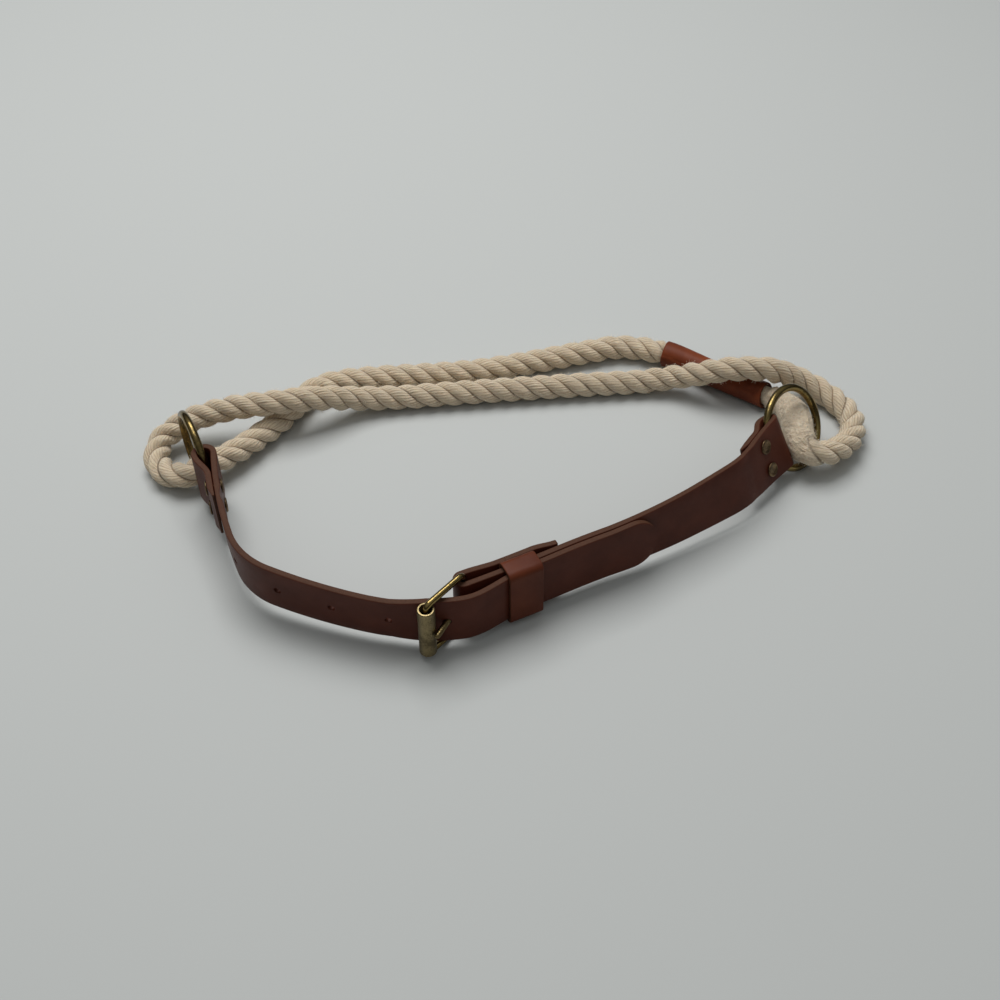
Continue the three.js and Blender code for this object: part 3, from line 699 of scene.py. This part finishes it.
def cut_out(piece, punches):
    """Cuts each punch out of a piece and puts it away."""
    for punch in punches:
        modifier = piece.modifiers.new("cut", "BOOLEAN")
        modifier.operation = "DIFFERENCE"
        modifier.solver = "EXACT"
        modifier.object = punch
    settle(piece)
    for punch in punches:
        bpy.data.objects.remove(punch)
    return piece


def finish_mesh(piece, material, sharp=35):
    piece.data.materials.clear()
    piece.data.materials.append(material)
    piece.data.shade_smooth()
    piece.data.set_sharp_from_angle(angle=math.radians(sharp))


# Leather: smooth and close-grained, with a soft shine, cloudy in colour, and with a duller, drier cut edge.
LOOK_OUTPUTS = {"Color": "Color", "Roughness": "Float", "Height": "Float"}
grain, given = new_tree("leather_grain", {
    "Place": "Vector", "Face": "Color", "Deep": "Color", "Cut Edge": "Color", "Edge": "Float",
    "Pore Scale": "Float",
}, LOOK_OUTPUTS, "ShaderNodeTree")
pore_inputs = {"Vector": given["Place"], "Scale": given["Pore Scale"]}
pores = grain.put("ShaderNodeTexVoronoi", pore_inputs, feature="DISTANCE_TO_EDGE").outputs["Distance"]
clouds = grain.noise(given["Place"], 60.0, 4.0, 0.6)
fine = grain.noise(given["Place"], 1500.0, 3.0)
face_colour = grain.blend(grain.remap(clouds, 0.35, 0.68), given["Deep"], given["Face"])
edge_share = grain.remap(given["Edge"], 0.55, 0.95, soft=True)
edge_colour = grain.scaled(given["Cut Edge"], grain.remap(fine, 0.3, 0.7, 0.8, 1.15))
grain.put("NodeGroupOutput", {
    "Color": grain.blend(edge_share, face_colour, edge_colour),
    "Roughness": grain.between(edge_share, grain.remap(clouds, 0.3, 0.7, 0.5, 0.4), 0.62),
    "Height": grain.math("ADD", grain.remap(pores, 0.0, 0.12), fine),
})


def grouped_look(name, group, values, relief, finish):
    """A material that takes its colour, roughness and relief from a group of nodes with these values."""
    material, nodes, shader = new_look(name)
    made = nodes.put("ShaderNodeGroup", {}, node_tree=group.tree)
    nodes.give(made, {"Place": nodes.place(), **values})
    if "Edge" in made.inputs:
        nodes.give(made, {"Edge": nodes.attribute("edge")})
    strength, depth = relief
    bump = nodes.put("ShaderNodeBump", {
        "Strength": strength,
        "Distance": depth,
        "Height": made.outputs["Height"],
    })
    nodes.give(shader, {
        "Base Color": made.outputs["Color"],
        "Roughness": made.outputs["Roughness"],
        "Normal": bump.outputs[0],
        **finish,
    })
    return material


def leather_look(name, face, deep, cut_edge):
    values = {"Face": (*face, 1), "Deep": (*deep, 1), "Cut Edge": (*cut_edge, 1), "Pore Scale": 1400}
    return grouped_look(name, grain, values, (0.35, 0.00006), {"Specular IOR Level": 0.14})


chestnut = leather_look(
    "chestnut_leather", (0.105, 0.026, 0.013), (0.075, 0.0185, 0.0095), (0.085, 0.036, 0.02),
)

buckle_walk = walk(
    HEEL + way(BUCKLE_STRAP_HEADING - 90) * HEEL_TURN,
    BUCKLE_STRAP_HEADING,
    BUCKLE_STRAP_BENDS,
    BUCKLE_STRAP_LENGTH,
    height_towards(RING_FOLDS["right"], BUCKLE_STRAP_BENDS[-1][2]),
)
buckle_fold = []
fold_count = math.ceil(BUCKLE_FOLD_LENGTH / 0.9)
for i in range(fold_count, -1, -1):
    s = BUCKLE_FOLD_LENGTH * i / fold_count
    share = s / BUCKLE_FOLD_LENGTH
    distance = LAYER_STEP + from_table(WIRE_SPREAD, share) * (2 * HEEL_TURN - LAYER_STEP)
    distance += from_table(KEEPER_SPREAD, share) * (KEEPER_THICKNESS + GAP)
    station = beside(station_at(buckle_walk, s), distance)
    buckle_fold.append((station[1], station[3]))
heel_turned = turn_round(HEEL, Vector((0, 0, 1)), way(BUCKLE_STRAP_HEADING + 90), HEEL_TURN)


def rivet_places(stations, length, place):
    station = station_at(stations, length - RING_FOLDS[place]["rivets"])
    middle = beside(station, LAYER_STEP / 2)
    return [(middle[1] + station[3] * side * RIVET_SPREAD / 2, left_of(station)) for side in (1, -1)]


right_rivets = rivet_places(buckle_walk, BUCKLE_STRAP_LENGTH, "right")
right_place = ring_place(buckle_walk, BUCKLE_STRAP_LENGTH, "right")
slot_way, slot_side = way(BUCKLE_STRAP_HEADING), way(BUCKLE_STRAP_HEADING + 90)
slot_sides = (slot_way * SLOT_LENGTH, slot_side * 2 * HEEL_TURN, Vector((0, 0, PRONG_WIRE / 2 + 2 * GAP)))
slot_points = [
    (HEEL + slot_sides[0] * x + slot_sides[1] * y + slot_sides[2] * z) * MM
    for z in (-1, 1) for y in (-1, 1) for x in (-1, 1)
]
slot_faces = [(0, 2, 3, 1), (4, 5, 7, 6), (0, 1, 5, 4), (2, 6, 7, 3), (0, 4, 6, 2), (1, 3, 7, 5)]
buckle_strap = leather_strip(
    "chestnut_buckle_strap",
    [*buckle_fold, *heel_turned, *ring_end(buckle_walk, BUCKLE_STRAP_LENGTH, "right")],
    STRAP_WIDTH,
    STRAP_THICKNESS,
    skive=SKIVED_END,
)
cut_out(buckle_strap, [
    solid("slot_punch", slot_points, slot_faces),
    torus("ring_room", right_place, RING_RADIUS, RING_WIRE + 2 * GAP, 64, 16),
    *(peg("rivet_punch", at, axis, RIVET_SHANK + 2 * GAP, 4 * STRAP_THICKNESS) for at, axis in right_rivets),
])
finish_mesh(buckle_strap, chestnut)
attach(buckle_strap, "root")
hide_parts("buckle_strap")


# The strap with the holes: the same leather. Its rounded tip lies in front of the buckle strap. It passes
# through the keeper, takes the prong in a hole, and goes in front of the roller and on to the left ring.
BILLET_LENGTH = 145.2
TIP_AT = KEEPER_AT + 63.4
TIP_LENGTH = 12
ROLLER_DIAMETER = 7.2
FRAME_REACH = 21.8
FRAME_HEADING = 229
PRONG_HEADING = 242.2
BILLET_HEADING = 181.5
SWEEP_TURN = 10
SWEEP_LEAD = (0.58, 0.5)
HOLE_DIAMETER = 3.3
HOLE_PITCH = 24
BILLET_BENDS = [
    (0.1, -10, 6),
    (0.08, -6, 5.5),
    (0.28, -9, 3.5),
    (0.17, -43, 3),
    (0.2, -8, 0),
    (0.17, -8, 0),
]
roller_middle = HEEL + way(FRAME_HEADING) * FRAME_REACH
pass_roller = roller_middle + way(BILLET_HEADING - 90) * (ROLLER_DIAMETER / 2 + GAP + STRAP_THICKNESS / 2)
billet_walk = walk(
    pass_roller,
    BILLET_HEADING,
    BILLET_BENDS,
    BILLET_LENGTH,
    height_towards(RING_FOLDS["left"], BILLET_BENDS[-1][2]),
)
billet_line = []
billet_narrow = []
for i in range(16):
    angle = math.pi / 2 * i / 16
    station = beside(station_at(buckle_walk, TIP_AT - TIP_LENGTH + TIP_LENGTH * math.cos(angle)), -LAYER_STEP)
    billet_line.append((station[1], station[3]))
    billet_narrow.append(max(0.1, math.sin(angle)))
tip_run = math.ceil((TIP_AT - TIP_LENGTH - KEEPER_AT) / STRAP_STEP)
for i in range(tip_run + 1):
    s = TIP_AT - TIP_LENGTH + (KEEPER_AT - TIP_AT + TIP_LENGTH) * i / tip_run
    station = beside(station_at(buckle_walk, s), -LAYER_STEP)
    billet_line.append((station[1], station[3]))
join_at, join_up, join_heading = station[1], station[3], station[2]
sweep_length = (join_at - pass_roller).length
sweep_posts = (
    join_at,
    join_at - way(join_heading + SWEEP_TURN) * SWEEP_LEAD[0] * sweep_length,
    pass_roller - way(BILLET_HEADING) * SWEEP_LEAD[1] * sweep_length,
    pass_roller,
)


def sweep_point(t):
    a, b, c, d = sweep_posts
    return a * (1 - t) ** 3 + b * 3 * t * (1 - t) ** 2 + c * 3 * t * t * (1 - t) + d * t ** 3


for i in range(1, 30):
    billet_line.append((sweep_point(i / 30), join_up.lerp(billet_walk[0][3], i / 30).normalized()))
billet_line += ring_end(billet_walk, BILLET_LENGTH, "left")
billet_narrow += [1.0] * (len(billet_line) - len(billet_narrow))
prong_way = way(PRONG_HEADING)
sweep_points = [sweep_point(i / 200) for i in range(201)]
crossing = min(range(201), key=lambda i: abs((sweep_points[i] - HEEL).cross(prong_way).z))
crossing_to_roller = line_length(sweep_points[crossing:])
left_rivets = rivet_places(billet_walk, BILLET_LENGTH, "left")
left_place = ring_place(billet_walk, BILLET_LENGTH, "left")
hole_stations = [station_at(billet_walk, i * HOLE_PITCH - crossing_to_roller) for i in range(1, 5)]
billet_strap = leather_strip(
    "chestnut_billet_strap",
    billet_line,
    STRAP_WIDTH,
    STRAP_THICKNESS,
    narrow=billet_narrow,
    skive=SKIVED_END,
)
prong_crossing = sweep_points[crossing].copy()
prong_crossing.z = HEEL.z
cut_out(billet_strap, [
    peg("prong_punch", prong_crossing, prong_way, PRONG_WIRE + 2.5 * GAP, 4 * STRAP_THICKNESS),
    torus("ring_room", left_place, RING_RADIUS, RING_WIRE + 2 * GAP, 64, 16),
    *(peg("hole_punch", s[1], left_of(s), HOLE_DIAMETER, 3 * STRAP_THICKNESS) for s in hole_stations),
    *(peg("rivet_punch", at, axis, RIVET_SHANK + 2 * GAP, 4 * STRAP_THICKNESS) for at, axis in left_rivets),
])
finish_mesh(billet_strap, chestnut)
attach(billet_strap, "root")
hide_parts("billet_strap")


# The keeper: a closed band of thinner, redder leather, 15.2 mm wide. It goes round both straps with a little
# slack and is bent over their edges.
KEEPER_WIDTH = 15.2
KEEPER_SLACK = 1.2
KEEPER_CORNER = 3


def rounded_loop(width, height, corner, steps=8):
    """Points round a rectangle with round corners, in its own plane."""
    points = []
    for sx, sy, first in ((1, 1, 0), (-1, 1, 90), (-1, -1, 180), (1, -1, 270)):
        for i in range(steps + 1):
            angle = math.radians(first + 90 * i / steps)
            points.append((
                sx * (width / 2 - corner) + corner * math.cos(angle),
                sy * (height / 2 - corner) + corner * math.sin(angle),
            ))
    dense = []
    for (x0, y0), (x1, y1) in zip(points, points[1:] + points[:1]):
        count = max(1, round(math.hypot(x1 - x0, y1 - y0) / 1.5))
        dense += [(x0 + (x1 - x0) * i / count, y0 + (y1 - y0) * i / count) for i in range(count)]
    return dense


keeper_station = station_at(buckle_walk, KEEPER_AT)
keeper_middle = beside(keeper_station, -(LAYER_STEP + KEEPER_SLACK) / 2)[1]
keeper_inside = (2 * STRAP_THICKNESS + 3 * GAP + KEEPER_SLACK, STRAP_WIDTH + 4 * GAP)
keeper_along = way(keeper_station[2])
keeper_line = [
    (keeper_middle + left_of(keeper_station) * x + keeper_station[3] * y, keeper_along)
    for x, y in rounded_loop(
        keeper_inside[0] + KEEPER_THICKNESS,
        keeper_inside[1] + KEEPER_THICKNESS,
        KEEPER_CORNER - KEEPER_THICKNESS / 2,
    )
]
keeper = leather_strip(
    "chestnut_keeper", keeper_line, KEEPER_WIDTH, KEEPER_THICKNESS, corner=0.4, closed=True,
)
keeper_leather = leather_look(
    "keeper_leather", (0.13, 0.03, 0.011), (0.09, 0.021, 0.009), (0.085, 0.03, 0.014),
)
finish_mesh(keeper, keeper_leather)
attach(keeper, "root")
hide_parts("keeper")


# The rings: round brass wire, 3.6 mm thick and 40 mm across, closed without a visible joint, polished over a
# dark antique finish. One hangs in each fold and the rope runs through it.
brass_wear, given = new_tree("antique_brass_wear", {
    "Place": "Vector", "Bright": "Color", "Dark": "Color", "Amount": "Float", "Smooth": "Float",
    "Rough": "Float", "Speck Scale": "Float",
}, LOOK_OUTPUTS, "ShaderNodeTree")
specks = brass_wear.noise(given["Place"], given["Speck Scale"], 4.0, 0.7)
stains = brass_wear.noise(given["Place"], 110.0, 3.0)
tarnish = brass_wear.remap(brass_wear.math("ADD", specks, stains), 0.85, 1.15, soft=True)
tarnish = brass_wear.math("MULTIPLY", tarnish, given["Amount"])
brass_wear.put("NodeGroupOutput", {
    "Color": brass_wear.blend(tarnish, given["Bright"], given["Dark"]),
    "Roughness": brass_wear.between(tarnish, given["Smooth"], given["Rough"]),
    "Height": specks,
})


def brass_look(name, bright, dark, amount, smooth, rough, depth, speck_scale=1800):
    values = {
        "Bright": (*bright, 1), "Dark": (*dark, 1), "Amount": amount, "Smooth": smooth, "Rough": rough,
        "Speck Scale": speck_scale,
    }
    return grouped_look(name, brass_wear, values, (0.4, depth), {"Metallic": 1.0})


polished_brass = brass_look(
    "polished_antique_brass", (0.27, 0.195, 0.07), (0.10, 0.072, 0.03), 1.0, 0.12, 0.3, 0.00002,
)
for node_name, place in (("ring_right", right_place), ("ring_left", left_place)):
    ring = torus(f"brass_{node_name}", place, RING_RADIUS, RING_WIRE)
    finish_mesh(ring, polished_brass, 80)
    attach(ring, "root")
    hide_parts(node_name)


# The buckle's frame: one loop of brass wire, bent round at its corners. The strap holds its heel bar, and the
# roller turns on its far bar.
FRAME_CORNER = 2.6
wire, given = new_tree("round_wire", {"Diameter": "Float", "Sides": "Int", "Brass": "Material"})
wire_line = wire.put("GeometryNodeMeshToCurve", {"Mesh": given["Geometry"]}).outputs["Curve"]
wire_section = wire.circle(given["Sides"], wire.math("MULTIPLY", given["Diameter"], 0.5))
wire.dress(wire.sweep(wire_line, wire_section), given["Brass"])

frame_way = way(FRAME_HEADING)
frame_middle = HEEL.lerp(roller_middle, 0.5)
frame_line = [
    (frame_middle + frame_way * x + Vector((0, 0, z))) * MM
    for x, z in rounded_loop(FRAME_REACH, FRAME_HEIGHT - FRAME_WIRE, FRAME_CORNER)
]
buckle_frame = line_object("brass_buckle_frame", frame_line, closed=True)
grow(buckle_frame, wire, {"Diameter": FRAME_WIRE * MM, "Sides": 24, "Brass": polished_brass})
finish_mesh(buckle_frame, polished_brass, 80)
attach(buckle_frame, "root")
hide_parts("buckle_frame")


# The roller: a length of brass tube on the frame's far bar, with a flared mouth at either end. Handling has
# left it mottled and dull.
ROLLER_LENGTH = FRAME_HEIGHT - 2 * FRAME_WIRE - 2 * GAP
ROLLER_WAIST = 0.04
ROLLER_MOUTH = [
    (3.42, -0.14), (3.3, -0.02), (3.05, 0.0), (2.75, 0.0), (2.5, -0.5), (1.95, -1.5), (1.85, -2.0),
]


def lathe(name, profile, middle, axis, sides=64):
    """A closed body turned from (radius, height) points round an axis, in millimetres."""
    axis = axis.normalized()
    first = axis.orthogonal().normalized()
    second = axis.cross(first)
    points = []
    for radius, height in profile:
        for i in range(sides):
            angle = 2 * math.pi * i / sides
            arm = first * math.cos(angle) + second * math.sin(angle)
            points.append((middle + axis * height + arm * radius) * MM)
    rows = len(profile)
    faces = []
    for j in range(rows):
        k = (j + 1) % rows
        for i in range(sides):
            n = (i + 1) % sides
            faces.append((j * sides + i, j * sides + n, k * sides + n, k * sides + i))
    return solid(name, points, faces)


half = ROLLER_LENGTH / 2
tube = ROLLER_DIAMETER / 2
roller_outline = [(tube, -half + 0.35), (tube, -half * 0.6), (tube - ROLLER_WAIST, 0.0)]
roller_outline += [(tube, half * 0.6), (tube, half - 0.35)]
roller_outline += [(r, half + h) for r, h in ROLLER_MOUTH]
roller_outline += [(r, -half - h) for r, h in reversed(ROLLER_MOUTH)]
roller = lathe("brass_roller", roller_outline, roller_middle, Vector((0, 0, 1)))
aged_brass = brass_look(
    "aged_brass", (0.27, 0.21, 0.105), (0.11, 0.085, 0.045), 1.0, 0.36, 0.6, 0.00005, 2600,
)
finish_mesh(roller, aged_brass, 40)
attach(roller, "root")
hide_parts("buckle_roller")


# The prong: brass wire with an eye round the heel bar. It goes out through the slot in the fold, comes
# through the hole in the other strap and ends at the roller.
PRONG_LENGTH = 23
PRONG_TIP = 1.6
EYE_INSIDE = FRAME_WIRE / 2 + GAP
EYE_WALL = 1.3
prong_radius = PRONG_WIRE / 2
shaft_from = EYE_INSIDE + EYE_WALL - 0.5
prong_tip = [(1, PRONG_TIP), (0.93, 0.9), (0.72, 0.4), (0.35, 0.08), (0.02 / prong_radius, 0)]
prong_outline = [(0.02, shaft_from), (prong_radius, shaft_from)]
prong_outline += [(share * prong_radius, PRONG_LENGTH - back) for share, back in prong_tip]
prong = lathe("brass_prong", prong_outline, HEEL, prong_way, 32)
eye_outline = [
    (EYE_INSIDE + EYE_WALL / 2 + EYE_WALL / 2 * math.cos(a), prong_radius * math.sin(a))
    for a in (2 * math.pi * i / 20 for i in range(20))
]
prong_eye = lathe("prong_eye", eye_outline, HEEL, Vector((0, 0, 1)), 48)
join = prong.modifiers.new("join", "BOOLEAN")
join.operation = "UNION"
join.solver = "EXACT"
join.object = prong_eye
settle(prong)
bpy.data.objects.remove(prong_eye)
prong_brass = brass_look(
    "rubbed_brass", (0.30, 0.225, 0.10), (0.12, 0.085, 0.04), 0.9, 0.22, 0.45, 0.00003,
)
finish_mesh(prong, prong_brass, 40)
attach(prong, "root")
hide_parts("buckle_prong")


# The rivets: dull brass, with a dished head on either side. Two go through each fold at the rings, one above
# the other.
RIVET_HEAD = 6.6
RIVET_HEAD_THICKNESS = 0.75
seat = (2 * STRAP_THICKNESS + GAP) / 2 + GAP
head = RIVET_HEAD / 2
top = seat + RIVET_HEAD_THICKNESS
half_rivet = [
    (RIVET_SHANK / 2, seat), (head - 0.1, seat), (head, seat + 0.15), (head, top - 0.45),
    (head - 0.12, top - 0.2), (head - 0.42, top - 0.02), (head - 0.75, top - 0.06), (head - 1.05, top - 0.3),
    (head - 1.6, top - 0.42), (0.02, top - 0.46),
]
rivet_outline = [(r, -h) for r, h in reversed(half_rivet)] + half_rivet
rivet_pattern = lathe("rivet_pattern", rivet_outline, Vector((0, 0, 0)), Vector((0, 0, 1)), 40)
rivet_nodes, given = new_tree("set_rivets", {"Rivet": "Object", "Brass": "Material"})
pattern = rivet_nodes.put("GeometryNodeObjectInfo", {"Object": given["Rivet"]})
through = rivet_nodes.named("through", "FLOAT_VECTOR")
facing = rivet_nodes.put("FunctionNodeAlignRotationToVector", {"Vector": through}, axis="Z")
set_in = rivet_nodes.put("GeometryNodeInstanceOnPoints", {
    "Points": given["Geometry"],
    "Instance": pattern.outputs["Geometry"],
    "Rotation": facing.outputs["Rotation"],
})
rivet_nodes.dress(set_in.outputs["Instances"], given["Brass"])
rivet_brass = brass_look(
    "dull_rivet_brass", (0.21, 0.145, 0.075), (0.085, 0.052, 0.03), 1.0, 0.3, 0.5, 0.00004,
)
for name, places in (("ring_right", right_rivets), ("ring_left", left_rivets)):
    rivets = solid(f"brass_rivets_{name}", [at * MM for at, axis in places], [])
    through_way = rivets.data.attributes.new("through", "FLOAT_VECTOR", "POINT")
    through_way.data.foreach_set("vector", [value for at, axis in places for value in axis])
    grow(rivets, rivet_nodes, {"Rivet": rivet_pattern, "Brass": rivet_brass})
    finish_mesh(rivets, rivet_brass, 60)
    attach(rivets, "root")
    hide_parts(f"rivet_{name}_1", f"rivet_{name}_2")
bpy.data.objects.remove(rivet_pattern)


# The sleeve: a piece of thin red-brown leather wrapped tight round the rope's joint and glued along a lap
# that runs down its side.
SLEEVE_DIAMETER = 12.8
SLEEVE_WALL = 1.4
SLEEVE_SLANT = 2.6
SLEEVE_LENGTH = 2 * SLEEVE_HALF / MM
SLEEVE_SIDES = 72
RIM = 0.3
LAP_AT = 150
LAP_HEIGHT = 0.22
LAP_RUN = 1.2
SEAM_DEPTH = 0.12
SEAM_WIDTH = 0.09
CREASE_AT = 50
CREASE_SLANT = 2.6
CREASE_DEPTH = 0.25
CREASE_WIDTH = 0.8
joint_points = []
for i in range(6, 0, -1):
    joint_points.append(rope_line[round(SLEEVE_HALF * 1000 * i / 6)])
for i in range(1, 7):
    joint_points.append(rope_line[-1 - round(SLEEVE_HALF * 1000 * i / 6)])
sleeve_line = [point * 1000 for point in smooth_line(joint_points, 0.001)]
sleeve_rows = []
count = len(sleeve_line)
for i, point in enumerate(sleeve_line):
    tangent = (sleeve_line[min(i + 1, count - 1)] - sleeve_line[max(i - 1, 0)]).normalized()
    side = Vector((0, 0, 1)).cross(tangent).normalized()
    up = tangent.cross(side)
    share = i / (count - 1)
    ring_points = []
    for j in range(SLEEVE_SIDES):
        angle = 2 * math.pi * j / SLEEVE_SIDES
        lap_angle = (angle - math.radians(LAP_AT) - 0.12 * math.sin(7 * share)) % (2 * math.pi)
        lap = LAP_HEIGHT * max(0.0, 1 - lap_angle / LAP_RUN)
        lap -= SEAM_DEPTH * math.exp(-((lap_angle - 2 * math.pi) / SEAM_WIDTH) ** 2)
        from_crease = share * SLEEVE_LENGTH - CREASE_AT - CREASE_SLANT * math.cos(angle - 1.2)
        crease_share = 0.5 + 0.5 * math.cos(angle - 2.2)
        crease = -CREASE_DEPTH * math.exp(-(from_crease / CREASE_WIDTH) ** 2) * crease_share
        wave = 0.07 * math.sin(3 * angle + 9 * share) + 0.05 * math.sin(2 * angle - 17 * share)
        radius = SLEEVE_DIAMETER / 2 - 0.12 + lap + crease + wave
        ring_points.append((angle, radius))
    sleeve_rows.append((point, side, up, tangent, ring_points))
points = []
edges = []
first_row, last_row = sleeve_rows[0], sleeve_rows[-1]
inner = SLEEVE_DIAMETER / 2 - SLEEVE_WALL
walls = [(row, "outer", 0.0) for row in sleeve_rows]
walls[0] = (first_row, "rim", 0.0)
walls[-1] = (last_row, "rim", 0.0)
walls.insert(1, (first_row, "outer", RIM))
walls.insert(-1, (last_row, "outer", -RIM))
walls += [(row, "inner", 0.0) for row in reversed(sleeve_rows)]
for (point, side, up, tangent, ring_points), wall, shift in walls:
    for angle, radius in ring_points:
        reach_out = {"outer": radius, "rim": radius - RIM, "inner": inner}[wall]
        slant = -SLEEVE_SLANT * (0.5 + 0.5 * math.sin(angle)) * eased_step(8, 0, (last_row[0] - point).length)
        spot = point + tangent * (shift + slant) + (side * math.cos(angle) + up * math.sin(angle)) * reach_out
        spot.z = max(spot.z, 0.02)
        points.append(spot * MM)
        edges.append(1.0 if wall != "outer" else 0.0)
faces = []
rows = len(walls)
for i in range(rows):
    for j in range(SLEEVE_SIDES):
        n, k = (i + 1) % rows, (j + 1) % SLEEVE_SIDES
        near, far = i * SLEEVE_SIDES, n * SLEEVE_SIDES
        faces.append((near + j, near + k, far + k, far + j))
sleeve = solid("red_leather_sleeve", points, faces)
number_attribute(sleeve.data, "edge", edges)
sleeve_leather = leather_look(
    "sleeve_leather", (0.22, 0.05, 0.016), (0.12, 0.026, 0.01), (0.13, 0.038, 0.018),
)
finish_mesh(sleeve, sleeve_leather, 50)
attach(sleeve, "root")
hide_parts("rope_sleeve")


# A pale grey table top, which is not part of the belt. One wide soft light stands over it, behind and above
# the belt, in a room that is brighter overhead.
UNDER_THE_BELT = 0.0002
table_mesh = bpy.data.meshes.new("table_top")
table_mesh.from_pydata([(-3, -2, 0), (3, -2, 0), (3, 4, 0), (-3, 4, 0)], [], [(0, 1, 2, 3)])
table = bpy.data.objects.new("table_top", table_mesh)
bpy.context.collection.objects.link(table)
table.location.z = -UNDER_THE_BELT
table_look, nodes, shader = new_look("pale_grey_paper")
nodes.give(shader, {"Base Color": (0.535, 0.548, 0.535, 1), "Roughness": 0.7})
table_mesh.materials.append(table_look)

world = bpy.data.worlds.new("studio")
bpy.context.scene.world = world
world.use_nodes = True
nodes = Nodes(world.node_tree)
sky_way = nodes.put("ShaderNodeTexCoord").outputs["Generated"]
overhead = nodes.remap(nodes.put("ShaderNodeSeparateXYZ", {0: sky_way}).outputs["Z"], 0.1, 0.9, soft=True)
room = nodes.blend(overhead, (0.1, 0.095, 0.09), (0.83, 0.86, 0.86))
nodes.give(world.node_tree.nodes["Background"], {"Color": room, "Strength": 0.46})


def soft_light(name, place, target, size, power):
    """A square area light that faces a target."""
    data = bpy.data.lights.new(name, "AREA")
    data.shape = "SQUARE"
    data.size = size
    data.energy = power
    lamp = bpy.data.objects.new(name, data)
    bpy.context.collection.objects.link(lamp)
    lamp.location = place
    lamp.rotation_euler = (Vector(target) - Vector(place)).to_track_quat("-Z", "Y").to_euler()


soft_light("window", (-0.2, 0.46, 1.2), (0, 0.05, 0), 0.85, 12.8)
bpy.context.scene.view_settings.view_transform = "Standard"
